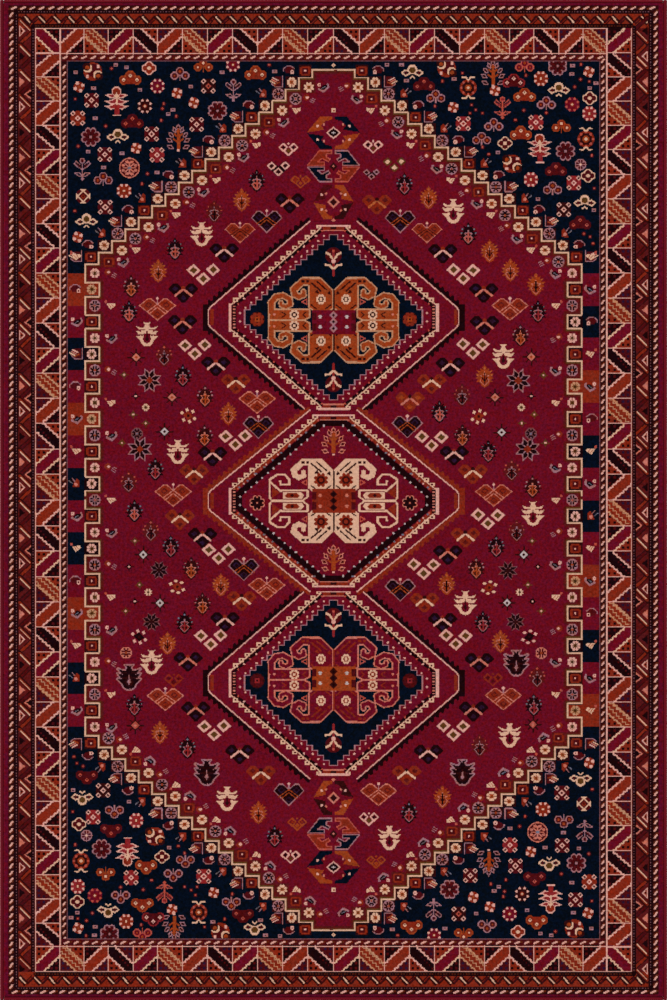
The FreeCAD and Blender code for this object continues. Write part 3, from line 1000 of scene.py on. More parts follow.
def medallion(middle, top, frame_flat, frame_top, bar, teeth, core=None, core_tall=0.0):
    """The diamond itself, drawn as its left half and mirrored, from the needle at its centre. top
    is the outline's half height. The frame's flat ends reach frame_flat to each side at a height of
    frame_top, and its upright sides reach up and down by bar. core is the yarn of a stepped heart."""
    for half in middle.both():
        outline = [(-5.7, top), (-29.5, 2.4), (-30.0, 1.6), (-30.0, -1.6), (-29.5, -2.4), (-5.7, -top)]
        shift = [(-0.3, 0.5), (-0.35, 0.5), (-0.8, 0), (-0.8, 0), (-0.35, -0.5), (-0.3, -0.5)]
        half.line([(x + dx, y + dy) for (x, y), (dx, dy) in zip(outline, shift)], teeth, 0.75)
        for number in range(SAW_TEETH):
            x, y = -7.2 - 1.22 * number, top - 0.4 - (top - 2.4) / (SAW_TEETH + 0.5) * number
            for up in (-1, 1):
                half.patch([(x - 1.0, up * (y - 1.0)), (x - 1.0, up * (y + 0.35)),
                            (x - 0.6, up * (y + 0.65)), (x + 0.2, up * y)], teeth)
        half.block(-31.4, -3.2, -30.1, 3.2, teeth)
        half.patch([(0, top), *outline, (0, -top)], "crimson")
        half.line(outline, "blush", 0.3)
        half.block(-29.6, -1.9, -28.8, 1.9, "rust")

        run, drop = (24.9 - frame_flat) / FRAME_SQUARES, (frame_top - bar) / FRAME_SQUARES
        inside = [(0, frame_top - 0.3), (-frame_flat + 0.6, frame_top - 0.3), (-24.3, bar - 0.4),
                  (-24.3, -bar + 0.4), (-frame_flat + 0.6, -frame_top + 0.3), (0, -frame_top + 0.3)]
        half.patch(inside, "crimson")
        for up in (-1, 1):
            flank = half if up > 0 else half.upended()
            flank.line([(-frame_flat + 0.5, frame_top - 1.1), (-24.0, bar - 0.7)], teeth, 0.7)
            flank.line([(-frame_flat + 0.2, frame_top - 0.75), (-24.4, bar - 0.15)], "cream", 0.28)
            for number in range(FRAME_SQUARES):
                x, y = -frame_flat - 0.1 - run * number, frame_top - 0.3 - drop * number
                flank.block(x - 0.62, y - 0.45, x + 0.6, y + 0.45, "cream")
                flank.block(x - 0.22, y - 0.2, x + 0.25, y + 0.2, "maroon")
                flank.dot(x + 0.72, y - 0.95, 0.24, "blush" if number % 2 else "coral")
            flank.block(-frame_flat - 0.4, frame_top - 0.24, 0.1, frame_top + 0.2, "blush")
            flank.block(-frame_flat + 0.9, frame_top - 1.0, 0, frame_top - 0.3, "rust")
            flank.block(-0.7, frame_top - 0.95, 0, frame_top - 0.35, "umber")
            flank.block(-frame_flat + 0.9, frame_top - 1.3, 0, frame_top - 1.0, "salmon")
        half.block(-25.2, -bar - 0.2, -24.5, bar + 0.2, "blush")
        half.block(-24.4, -bar + 0.2, -23.4, bar - 0.2, "ink")
        for place in np.arange(-bar + 0.6, bar - 0.3, 0.72):
            half.block(-24.2, place, -23.6, place + 0.3, "salmon")
        if core:
            depth = core_tall / (CORE_STEPS + 1)
            first = (-1.05, core_tall - depth)
            stair = [(-1.05, core_tall), *staircase(first, 1.35, depth * 0.97, CORE_STEPS)]
            lower = [(x, -y) for x, y in reversed(stair)]
            heart = [(0, core_tall), *stair, *lower, (0, -core_tall)]
            half.patch(heart, core)
            half.line(heart, "plum", 0.24)
        else:
            ribbon = [(0, frame_top - 1.9), (-2.9, frame_top - 1.9), (-22.7, bar - 1.4), (-22.7, 1.4 - bar),
                      (-2.9, 1.9 - frame_top), (0, 1.9 - frame_top)]
            half.line(ribbon, "ink", 1.5)
            for number in range(10):
                for up in (-1, 1):
                    half.dot(-4.6 - 2.0 * number, up * (frame_top - 2.4 - 1.66 * number), 0.25, "slate")
        for number in range(FRAME_BEADS):
            x = -2.3 - 1.34 * number
            y = frame_top - 2.5 - (frame_top - 2.9) / (FRAME_BEADS - 0.5) * number
            for up in (-1, 1):
                half.dot(x, y * up, 0.25, "blush" if core else "pearl")


def hook_heart(middle, fill, edge, petal, mark, spiral=1.32, open_arms=False):
    """Curled hooks and the flowered blocks that they grow from, for one quarter and its mirrors."""
    for half in middle.both():
        for up in (1, -1):
            part = half if up > 0 else half.upended()
            curl(part, [(-3.6, 9.3), (-7.3, 9.3), (-9.5, 7.4), (-9.3, 6.2), (-8.3, 5.6), (-7.1, 6.0),
                        (-7.2, 6.9)], edge, fill, spiral * 1.35, spiral * 0.8)
            crown = [(-0.1, 7.1), (-3.0, 10.0), (-5.9, 10.0), (-5.9, 3.1), (-4.6, 2.1), (-1.2, 2.1),
                     (-0.1, 2.9)]
            part.patch(crown, fill)
            part.line(crown, edge, 0.34, closed=True)
            part.line([(-5.9, 8.7), (-5.9, 9.6)], fill, 0.7)
            part.line([(-5.3, 8.9), (-3.0, 7.0)], mark, 0.42)
            part.line([(-4.0, 9.3), (-1.7, 7.3)], mark, 0.36)
            part.block(-7.7, 9.0, -7.0, 9.6, mark)
            part.block(-6.6, 9.0, -5.9, 9.6, mark)
            part.patch([(-4.6, 6.6), (-3.9, 7.4), (-3.4, 6.4)], mark)
            part.patch([(-1.6, 6.4), (-0.9, 7.2), (-0.6, 6.0)], mark)
            part.line([(-5.3, 3.6), (-4.1, 2.7)], mark, 0.35)
            part.line([(-0.7, 3.6), (-1.9, 2.7)], mark, 0.35)
            part.line([(0, 2.1), (0, 7.1)], mark, 0.4)
            daisy(part.at(-3.0, 5.0, 1.4 if open_arms else 1.0), petal, mark)
            if open_arms:
                part.line([(-12.6, 2.3), (-15.3, 4.6), (-15.2, 5.2), (-13.4, 6.3), (-11.7, 6.3), (-10.6, 5.1),
                           (-10.6, 3.9), (-12.6, 3.9), (-12.8, 4.7)], edge, 0.5)
                part.line([(-15.3, 4.8), (-15.2, 0.5), (-14.8, 0.1), (-7.3, 0.1), (-6.2, 1.0), (-6.2, 2.5),
                           (-12.6, 2.5)], edge, 0.42)
                part.patch([(-14.8, 3.4), (-14.8, 0.6), (-12.9, 2.0)], "rust")
                part.patch([(-12.2, 0.5), (-12.2, 2.1), (-7.9, 2.1), (-7.0, 1.3), (-7.6, 0.5)], edge)
                part.patch([(-11.7, 1.3), (-11.1, 1.9), (-8.7, 1.9), (-8.1, 1.3), (-8.7, 0.7),
                            (-11.1, 0.7)], "rust")
                part.dot(-9.9, 1.3, 0.4, mark)
            else:
                arm = [(-5.7, 2.55), (-14.3, 2.55), (-15.5, 1.2), (-15.5, 0.1), (-7.0, 0.1), (-5.7, 0.7)]
                curl(part, [(-14.8, 1.6), (-14.9, 4.2), (-13.8, 5.6), (-12.1, 5.9), (-10.5, 5.0),
                            (-10.3, 3.8), (-11.4, 3.2), (-12.5, 3.6), (-12.6, 4.2)], edge, fill,
                     spiral * 1.15, spiral * 0.75)
                part.patch(arm, fill)
                part.line(arm, edge, 0.34, closed=True)
                part.line([(-14.85, 1.9), (-14.85, 3.4)], fill, 1.1)
                part.dot(-14.2, 1.4, 0.3, "salmon")
                daisy(part.at(-9.4, 1.32), petal, mark)
                part.line([(-12.3, 1.9), (-11.4, 1.3), (-12.3, 0.7)], mark, 0.25)
                part.line([(-6.6, 1.9), (-7.4, 1.3), (-6.6, 0.7)], mark, 0.25)
            part.line([(-7.5, 4.4), (-6.4, 5.0), (-6.4, 3.8)], "coral", 0.3, closed=True)


def middle_square(middle, ground, diamonds, dots):
    """The block in the middle of the hooks, with three diamonds and four dots."""
    middle.block(-5.2, -2.9, 5.2, 2.9, ground)
    for y in (1.6, 0, -1.6):
        ring_diamond(middle, 0, y, 0.95, diamonds, "ink")
    for half in middle.both():
        for y in (1.25, -1.25):
            half.dot(3.2, y, 0.42, dots)
            half.block(4.2, y - 0.9, 5.2, y + 0.9, "maroon")


def side_rosette(needle, petal, ring, heart):
    """A round flower with a square heart."""
    needle.dot(0, 0, 1.75, ring)
    needle.dots_round(1.2, 0.5, petal)
    needle.block(-0.6, -0.6, 0.6, 0.6, heart)
    needle.block(-0.25, -0.25, 0.25, 0.25, "ink")


def sprig(needle):
    """A sprig with a round dark flower and pale leaves."""
    needle.dot(0, 1.2, 1.9, "maroon")
    needle.line([(0, -3.6), (0, 2.5)], "madder", 0.45)
    for half in needle.both():
        half.line([(0.3, 0.5), (1.0, 1.5), (1.7, 1.8)], "cream", 0.5)
        half.line([(0.2, -1.9), (0.9, -1.2), (1.9, -1.0)], "cream", 0.5)
    needle.dot(0, 2.3, 0.3, "coral")
    needle.dot(0, -0.2, 0.5, "blush")


END_MEDALLION = {"top": 23.0, "frame_flat": 3.4, "frame_top": 22.0, "bar": 3.2, "teeth": "ink",
                 "core": "navy", "core_tall": 19.8}
head_medallion = Needle().at(0, 43.8)
medallion(head_medallion, **END_MEDALLION)
hook_heart(head_medallion.at(0, -0.7), "copper", "khaki", "cream", "umber")
middle_square(head_medallion.at(0, -1.1), "crimson", "plum", "pearl")
foot_medallion = Needle().upended().at(0, 43.8)
medallion(foot_medallion, **END_MEDALLION)
hook_heart(foot_medallion.at(0, -0.7), "crimson", "salmon", "cream", "rust")
middle_square(foot_medallion.at(0, -1.1), "copper", "umber", "pearl")
centre_medallion = Needle().at(0, -0.2)
medallion(centre_medallion, top=21.7, frame_flat=4.3, frame_top=20.5, bar=3.0, teeth="rust")
hook_heart(centre_medallion, "cream", "cream", "rust", "umber", spiral=0.95, open_arms=True)
middle_square(centre_medallion, "rust", "umber", "salmon")
for needle, petal, ring, heart in ((head_medallion, "rust", "umber", "copper"),
                                   (foot_medallion, "maroon", "umber", "madder")):
    for half in needle.both():
        side_rosette(half.at(-18.3, -0.5), petal, ring, heart)
for half in centre_medallion.both():
    eight_petals(half.at(-18.3, -0.5, 0.8), "salmon", "ink")
for needle in (head_medallion, foot_medallion):
    sprig(needle.at(0, 13.6))
    sprig(needle.upended().at(0, 14.8))
leaf_tree(centre_medallion.at(0, 14.2, 1.05), "salmon", "maroon", "copper")
leaf_tree(centre_medallion.at(0, -14.0, 1.05), "salmon", "maroon", "copper")

# ---------------------------------------------------------------- hooked lozenges
# Three small hooked lozenges stand between the end medallions and the stepped edge at each end,
# in quarters of two colours turned against each other.
def quartered(needle, wide_x, tall_y, left_over, right_over, left_under, right_under):
    """Four hooked quarters, and dots where they hook."""
    quarters = (-1, 1, left_over), (1, 1, right_over), (-1, -1, left_under), (1, -1, right_under)
    for hand, up, yarn in quarters:
        quarter = needle.at(0, 0, flip=hand > 0)
        x, y = wide_x, tall_y * up
        quarter.patch([(-x, 0.12 * up), (-x * 0.5, y), (-0.3, y), (-0.3, y * 0.84), (-x * 0.28, y * 0.72),
                       (-x * 0.46, y * 0.45), (-x * 0.36, y * 0.2), (-x * 0.62, y * 0.12)], yarn)
        quarter.dot(-x * 0.6, y * 0.42, 0.32, "blush")
        quarter.dot(-x * 0.36, y * 0.5, 0.28, "salmon")


def outlined_quarters(needle, wide_x, tall_y, warm, warm_edge, dark, dark_edge):
    """Four hooked quarters in fine outlines, two warm and two dark."""
    for hand, up in ((-1, 1), (1, -1), (1, 1), (-1, -1)):
        fill, edge = (warm, warm_edge) if hand * up < 0 else (dark, dark_edge)
        quarter = needle.at(0, 0, flip=hand > 0)
        x, y = wide_x, tall_y * up
        points = [(-x, 0.25 * up), (-x * 0.55, y), (-0.4, y), (-0.4, y * 0.84), (-x * 0.27, y * 0.8),
                  (-x * 0.27, y * 0.55), (-x * 0.12, y * 0.48), (-x * 0.2, y * 0.3), (-x * 0.44, y * 0.5),
                  (-x * 0.62, y * 0.28), (-x * 0.36, y * 0.28), (-x * 0.36, 0.25 * up)]
        quarter.patch(points, fill)
        quarter.line(points, edge, 0.26, closed=True)


for needle, inmost in ((Needle(field), "maroon"), (Needle(field).upended(), "umber")):
    outer = needle.at(0, 88.0)
    quartered(outer, 6.4, 3.9, "copper", "navy", "navy", "copper")
    outer.lozenge(0, 0, 1.8, 1.5, "blush")
    outer.lozenge(0, 0, 1.4, 1.1, "ink")
    outer.lozenge(0, 0, 0.5, 0.3, "pearl")
    outlined_quarters(needle.at(0, 80.0), 6.2, 3.7, "rust", "coral", "navy", "plum")
    needle.lozenge(0, 80.0, 1.0, 1.0, "umber")
    needle.dot(0, 80.0, 0.25, "salmon")
    inner_one = needle.at(0, 71.4)
    quartered(inner_one, 4.8, 4.1, inmost, "copper", "copper", "umber")
    inner_one.lozenge(0, 0, 1.5, 1.5, "salmon")
    inner_one.lozenge(0, 0, 0.9, 0.9, "umber")
    needle.lozenge(0, 66.95, 0.5, 0.5, "salmon")

# ---------------------------------------------------------------- flowers of the field
# Palmettes, butterflies, stars and sets of diamonds float in the crimson field, in loose rows
# beside the medallions, a little different on the two sides as a hand weaver leaves them.
def palmette(needle, leaf, tip, heart, edge, vein=None):
    """A small flower head: a bud between pointed leaves, with or without a sprig in it."""
    for half in needle.both():
        half.patch([(0, 3.0), (0.5, 2.2), (0.3, 1.7), (1.2, 2.2), (0.9, 1.4), (1.9, 1.6), (1.2, 0.8),
                    (2.3, 0.8), (1.4, 0.1), (2.2, -0.2), (1.4, -0.6), (1.9, -1.2), (1.2, -1.3),
                    (0.8, -2.1), (0, -2.6)], leaf)
        bud = [(0, 1.3), (0.2, 0.45), (1.05, 0.3), (0.5, -0.25), (1.15, -0.75), (0.6, -1.6), (0, -2.1)]
        half.patch(bud, heart)
        half.line(bud, edge, 0.14)
        half.patch([(0.2, 0.25), (0.75, 0.12), (0.4, -0.3), (0.2, -0.25)], leaf)
        half.patch([(0.2, -0.65), (0.7, -0.8), (0.4, -1.4), (0.2, -1.5)], leaf)
        if vein:
            half.line([(0, 0.8), (0, -1.5)], vein, 0.3)
            half.line([(0.1, -0.9), (0.6, -0.15)], vein, 0.2)
        half.dot(1.4, 1.3, 0.2, tip)
        half.dot(1.7, 0.4, 0.2, tip)
    needle.dot(0, 2.1, 0.22, tip)


def great_palmette(needle, leaf, heart, bud, edge=None):
    """A large flower head with three pairs of leaves on a round cup."""
    shape = [(0, 2.5), (0.9, 2.65), (0.4, 2.0), (0.8, 1.3), (1.5, 1.3), (2.7, 1.75), (1.7, 0.6),
             (1.3, 0.3), (2.7, 0.65), (2.0, -0.4), (1.3, -0.8), (2.7, -0.7), (1.8, -1.6),
             (1.2, -2.7), (0.6, -3.1), (0, -3.2)]
    for half in needle.both():
        if edge:
            half.line(shape, edge, 0.7)
        half.patch(shape, leaf)
        half.patch([(0, 0.7), (0.25, 0), (1.05, -0.35), (0.7, -0.9), (1.05, -1.4), (0.65, -2.2),
                    (0, -2.5)], heart)
        half.line([(0.6, 0.75), (1.8, 0.7)], heart, 0.24)
        half.line([(1.1, -0.5), (2.0, -0.45)], heart, 0.24)
        half.patch([(0, 0.4), (0.2, -0.8), (0.45, -1.4), (0, -2.0)], bud)


def outlined_butterfly(needle, fill, edge, inner, cross, wing=4.3):
    """Three joined diamonds in a fine outline, with a crossed body and a pale head."""
    for half in needle.both():
        shape = [(0, 0.9), (1.5, 2.2), (2.3, 2.2), (wing, 0.6), (0, -2.9)]
        half.patch(shape, fill)
        half.lozenge(wing * 0.5, 0.75, 0.9, 0.75, inner)
        half.lozenge(wing * 0.5, 0.75, 0.55, 0.45, fill)
        half.line(shape, edge, 0.22)
        half.line([(0.0, 0.9), (2.5, -0.9)], cross, 0.22)
        half.line([(0.0, 0.2), (1.9, -1.35)], cross, 0.22)
    needle.lozenge(0, -1.5, 0.9, 0.75, inner)
    needle.lozenge(0, -1.5, 0.55, 0.45, fill)
    needle.line([(0, 1.1), (0, 1.9)], "plum", 0.22)
    needle.dot(0, 2.3, 0.32, "blush")


def butterfly(needle, fill, vee, inner, body="rust"):
    """Three plain diamonds under a bright chevron."""
    for half in needle.both():
        half.patch([(0.3, 0.9), (1.4, 2.2), (2.2, 2.2), (3.5, 1.0), (3.5, 0.5), (2.1, -0.7)], fill)
        half.lozenge(1.95, 0.85, 0.75, 0.6, inner)
    needle.patch([(0, 0.3), (1.75, -1.0), (0.4, -2.5), (-0.4, -2.5), (-1.75, -1.0)], fill)
    needle.lozenge(0, -1.35, 0.75, 0.6, inner)
    for half in needle.both():
        half.line([(0, 0.75), (1.95, -0.8)], vee, 0.5)
    needle.dot(0, 1.1, 0.42, body)


def diamonds(needle, light, dark, ground=None):
    """Three bold diamond rings in a V."""
    if ground:
        needle.line([(-2.3, 1.1), (0, -0.9), (2.3, 1.2)], ground, 2.6)
    for x, y in ((-2.35, 1.05), (2.35, 1.2), (0, -0.95)):
        needle.patch([(x - 1.75, y + 0.1), (x + 0.1, y + 1.55), (x + 1.7, y - 0.1),
                      (x - 0.1, y - 1.55)], light)
        needle.lozenge(x, y, 0.95, 0.85, dark)


def triple(needle, edge, fill, heart):
    """A small winged diamond in outline."""
    for half in needle.both():
        half.line([(0.3, 0.3), (1.25, 1.1), (2.2, 0.2), (1.2, -0.7)], edge, 0.36, closed=True)
        half.lozenge(1.2, 0.2, 0.5, 0.45, fill)
        half.line([(0, -1.7), (1.0, -0.7)], edge, 0.36)
    needle.lozenge(0, -0.6, 0.55, 0.5, heart)
    needle.dot(0, 1.1, 0.25, edge)


def star(needle, edge, petal, heart, size=1.0):
    """A star of eight pointed petals."""
    for turn in range(8):
        ray = needle.at(0, 0, size, turn=22.5 + 45 * turn)
        shape = [(0, 0.2), (0.7, 1.5), (0, 2.95), (-0.7, 1.5)]
        ray.patch(shape, petal)
        ray.line(shape, edge, 0.22, closed=True)
    needle.lozenge(0, 0, 0.95 * size, 0.95 * size, heart)


def rayed(needle, ring, heart, ray):
    """A small ring among eight rays."""
    for turn in range(8):
        angle = math.tau * turn / 8
        reach = 1.6 if turn % 2 else 1.95
        needle.line([(0, 0), (reach * math.cos(angle), reach * math.sin(angle))], ray, 0.4)
    needle.dot(0, 0, 1.05, ray)
    needle.lozenge(0, 0, 0.95, 0.95, ring)
    needle.lozenge(0, 0, 0.4, 0.4, heart)


def slanted(needle, fill, corner):
    """A leaning square with four pale corners."""
    needle.patch([(-1.3, 0.3), (0.1, 1.1), (1.3, -0.3), (-0.1, -1.1)], fill)
    for x, y in ((-1.5, 0.7), (-0.3, 1.4), (1.1, 1.0), (1.5, -0.7), (0.3, -1.4), (-1.1, -1.0)):
        needle.patch([(x - 0.5, y + 0.1), (x + 0.1, y + 0.45), (x + 0.5, y - 0.1),
                      (x - 0.1, y - 0.45)], corner)
    needle.dot(0, 0, 0.3, "umber")


def speck(needle, yarn):
    """A small spot with a light heart."""
    needle.line([(-1.0, 0), (1.0, 0)], yarn, 0.2)
    needle.line([(0, -0.9), (0, 0.9)], yarn, 0.2)
    needle.dot(0, 0, 0.6, yarn)
    needle.dot(0, 0, 0.28, "blush")


FIELD = [
    ((palmette, "ink", "slate", "coral", "plum"), [
        (-18.4, 76.4), (-38, 60), (-49, 45), (32.3, 63.6), (25.4, 21), (-47.7, -2.8)]),
    ((palmette, "ink", "slate", "madder", "plum"), [
        (17, 75.5), (49, 45), (-36.1, 29.6), (-42.7, 7.2), (37.1, 11.5), (-39, -11.3), (39, -11.3),
        (-35.7, -29.6),
        (35.8, -29.4), (-47.7, -49.3), (48, -49.3), (-35, -59.5), (-14.1, -80.8), (18.1, -75)]),
    ((palmette, "copper", "orange", "rust", "salmon", "ink"), [
        (-22, 71.8), (22.8, 72.3), (37.4, 59.5), (42.4, 55), (48.5, 51.5), (-42, 54.8), (-25.2, 20.6),
        (36.2, 29.5),
        (-27, -20.5), (27.1, -20.2), (-41.6, -55.8), (26.1, -71.3), (-18, -75), (40, -34), (-39.8, -34.5)]),
    ((palmette, "umber", "plum", "copper", "salmon"), [
        (-48.5, 51), (-30.8, 24.7), (44.8, 39.3), (47.7, 3), (-34.1, -16.5), (34.2, -16.5), (-31.4, -25),
        (30.9, 15.3), (-30.9, 15.2)]),
    ((palmette, "sienna", "coral", "ink", "plum"), [
        (-28.6, 69), (-40.6, 34.5), (30.8, 25), (42.7, 7), (-49.1, 4.2), (-43.8, -7.5), (43.9, -7.5),
        (35, -59),
        (48.8, -42.5)]),
    ((great_palmette, "cream", "crimson", "umber"), [
        (-31.6, 64), (28.7, 69.5), (-44.7, 40), (40.7, 34.7), (-37.3, 11.8), (47.8, -3), (-43.6, -38.6),
        (42.2, -56.1), (31.6, -24.4), (-25.5, -71.3), (13.4, -80.7)]),
    ((great_palmette, "ink", "umber", "plum", "plum"),
     [(-49, -42.2), (43.8, -38.8), (-30.4, -65), (30.9, -65)]),
    ((outlined_butterfly, "rust", "salmon", "sienna", "salmon"), [
        (-42.2, 46), (42.3, 46), (-18.3, 23.7), (-38.4, 1.4), (38.4, 1.4), (-16, -21), (-40.3, -47.5),
        (40.7, -47.4), (10.8, -70.3)]),
    ((outlined_butterfly, "ink", "plum", "violet", "copper", 3.6), [
        (16, -21.3), (-10.7, -70.3), (16, 67), (-16, 67), (-18, 17.7), (17.7, 17.8), (-21.5, -16.4)]),
    ((butterfly, "ink", "salmon", "violet"), [
        (-10.5, 71.3), (-36, 49.8), (36, 49.8), (-36.2, 42.2), (36.2, 42), (-34.9, -38.6), (34.9, -38.8),
        (-33, -50.5), (33.5, -50.5), (27.4, -13)]),
    ((butterfly, "ink", "blush", "violet"), [
        (-26.2, 59.4), (26.2, 59.2), (-29, 10.6), (28.9, 10.8), (-28.2, 32.2), (28, 32), (-31.4, -8.9),
        (-26, -29),
        (26.1, -29.2), (-22.5, -60.8), (22.7, -60.8)]),
    ((butterfly, "rust", "cream", "sienna", "umber"), [
        (-23.4, 28), (23.5, 28), (-33.4, 6.3), (33.4, 6.4), (-36.8, -4.5), (31.6, -8.8), (-22, -24),
        (21.8, -24.4), (-17.4, -65.8), (17.5, -65.8)]),
    ((butterfly, "rust", "salmon", "copper", "umber"), [(18.3, 23.7)]),
    ((butterfly, "rust", "orange", "sienna", "umber"), [(10.4, 71)]),
    ((diamonds, "blush", "olive"), [
        (-31.2, 54), (31.1, 54), (-33.2, 36), (33.4, 36.2), (-23.5, 14.2), (23.5, 14), (37, -4.7),
        (-27.5, -13),
        (21.6, -16.6), (-29.4, -33.6), (29.3, -33.6), (-28.6, -55.3), (28.7, -55.3)]),
    ((triple, "blush", "ink", "olive"), [(-10.8, 84.3), (9.5, 84.9), (-10.3, -85.3), (8.5, -76.2)]),
    ((triple, "copper", "rust", "copper"), [(-7.9, 76.5), (-8.7, -77.4), (10.2, -86.5)]),
    ((triple, "rust", "maroon", "maroon"), [(-38.3, -43), (38.2, -42.8)]),
    ((star, "plum", "ink", "rust"), [(-44.1, 28.7), (44.3, 28.6), (-46.4, 12.2), (46.5, 12.2)]),
    ((star, "dusk", "ink", "umber", 0.78), [(-41.8, -16.8), (41.8, -16.9), (-43.6, -29.2), (43.6, -29.2)]),
    ((rayed, "pearl", "umber", "umber"), [
        (-40.5, 16.4), (40.3, 16.2), (-45.6, -13.1), (45.6, -13.1), (-41.6, -24.7), (41.6, -24.6)]),
    ((rayed, "salmon", "copper", "umber"), [(-38.7, 24.6), (38.7, 24.6), (-47.3, 34.2), (47.4, 34.3)]),
    ((rayed, "coral", "salmon", "umber"), [(-47.5, -54), (47.8, -53.8)]),
    ((slanted, "rust", "cream"), [(-34.8, 20.2), (34.8, 20), (-37.5, -20.8), (37.3, -21)]),
    ((slanted, "ink", "blush"), [(-46.6, -32.8), (46.9, -32.8)]),
    ((ringed, "dusk", "ink", "slate"), [(-47.1, 15.9), (47.3, 15.9)]),
    ((ringed, "salmon", "maroon", "copper"), [(-49.7, -36.6), (49.8, -36.7)]),
    ((speck, "olive"), [(-50.2, 30), (50.3, 29.9), (-48, 20.5), (48.1, 20.5), (-45, 18.4), (45.1, 18.4),
                        (-50.7, 13.7), (50.8, 13.7), (-47.6, -9.8), (47.6, -9.8), (-46.5, -20.3),
                        (46.6, -20.3),
                        (-49.8, -26.6), (49.8, -26.6)]),
    ((speck, "ink"), [(-47.4, 24.9), (47.4, 24.9), (-49, -16), (49, -16), (-47.6, -24.3), (47.7, -24.3)]),
]
on_field = Needle(field)
for (motif, *colours), places in FIELD:
    for x, y in places:
        motif(on_field.at(x, y, flip=x > 0), *colours)
for x, y in ((-45, 22.2), (45, 22.2), (-44.4, -22.1), (44.6, -22.1)):
    scallop(on_field.at(x, y, 0.72), "cream", "olive", "umber")
for x in (-22.4, 22.4):
    outlined_butterfly(on_field.at(x, 64.3, 0.9), "rust", "salmon", "sienna", "umber", 3.9)
diamonds(on_field.at(-13.2, 79.3, 0.7), "blush", "umber", "ink")
diamonds(on_field.at(14.6, 80.3, 0.7), "olive", "cream")
diamonds(on_field.at(9.1, 78, 0.5), "plum", "umber", "ink")

# ---------------------------------------------------------------- pile
# Worsted wool, cut about 9 mm above the weave: each part of the pattern is a piece, one facet to a
# knot, with its skirt down to the weave. Dark dye eats the wool a little, so dark knots stand
# lower, and the outermost rows are sheared round towards the wrapped edge.
pile_base, pile_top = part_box("pile_field")[0].z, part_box("pile_field")[1].z
draw = np.random.default_rng(41)
brightness = np.array([sum(colour) for colour in YARNS.values()])
DARK, MIDDLING = 0.05, 0.25             # brightness below which the dye eats the wool
EATEN_DARK, EATEN_MIDDLING = 0.0004, 0.00015
SHEAR_DEPTH, SHEAR_WIDTH = 0.0026, 0.007
PILE_SLACK, UNEVEN = 0.0004, 0.00012
eaten = np.where(brightness < DARK, EATEN_DARK,
                 np.where(brightness < MIDDLING, EATEN_MIDDLING, 0.0))[knots]


def at_corners(values):
    """Knot values spread to the corners of the knots."""
    padded = np.pad(values, 1, "edge")
    return (padded[1:, 1:] + padded[1:, :-1] + padded[:-1, 1:] + padded[:-1, :-1]) / 4


corner_x = (loom_left + np.arange(columns + 1) * KNOT)[None, :] / 100
corner_y = (loom_foot + np.arange(rows + 1) * KNOT)[:, None] / 100
from_edge = np.minimum(-ground_low.x - np.abs(corner_x), -ground_low.y - np.abs(corner_y))
sheared = SHEAR_DEPTH * np.clip(1 - from_edge / SHEAR_WIDTH, 0, 1) ** 2
lie = (0.00022 * np.sin(corner_x * 5.1 + 1.3 * np.sin(corner_y * 2.3))
       + 0.00018 * np.sin(corner_y * 6.7 + corner_x))
tufts = draw.normal(0, UNEVEN, (rows + 1, columns + 1))
pile_height = pile_top - PILE_SLACK - at_corners(eaten) - sheared + lie + tufts
pile_across = corner_x + draw.normal(0, UNEVEN, (rows + 1, columns + 1))
pile_along = corner_y + draw.normal(0, UNEVEN, (rows + 1, columns + 1))


def pile_piece(name, node):
    """A pile piece over a CAD node's footprint: its knots as quads, and a skirt round them."""
    mask = footprint(node)
    row, column = np.nonzero(mask)
    span = columns + 1
    first = row * span + column
    quads = [np.stack((first, first + 1, first + span + 1, first + span), 1)]
    base = (rows + 1) * span
    yarn = [knots[row, column]]
    framed = np.pad(mask, 1)
    for step_row, step_column, start, end in ((-1, 0, 0, 1), (0, 1, 1, span + 1), (1, 0, span + 1, span),
                                              (0, -1, span, 0)):
        beyond = framed[1 + step_row:rows + 1 + step_row, 1 + step_column:columns + 1 + step_column]
        row, column = np.nonzero(mask & ~beyond)
        first = row * span + column
        quads.append(np.stack((first + start, base + first + start, base + first + end, first + end), 1))
        yarn.append(knots[row, column])
    quads, yarn = np.concatenate(quads), np.concatenate(yarn)
    used, faces = np.unique(quads, return_inverse=True)
    below = used >= base
    place = used % base
    points = np.stack((pile_across.flat[place], pile_along.flat[place],
                       np.where(below, pile_base, pile_height.flat[place])), 1)
    mesh = bpy.data.meshes.new(name)
    mesh.vertices.add(len(points))
    mesh.vertices.foreach_set("co", points.ravel())
    mesh.loops.add(quads.size)
    mesh.loops.foreach_set("vertex_index", faces.ravel().astype(np.int32))
    mesh.polygons.add(len(quads))
    mesh.polygons.foreach_set("loop_start", np.arange(0, quads.size, 4, dtype=np.int32))
    mesh.update(calc_edges=True)
    dye = mesh.attributes.new("yarn", "FLOAT", "FACE")
    dye.data.foreach_set("value", ((yarn + 0.5) / len(YARNS)).astype(np.float32))
    piece = bpy.data.objects.new(name, mesh)
    scene.collection.objects.link(piece)
    return piece


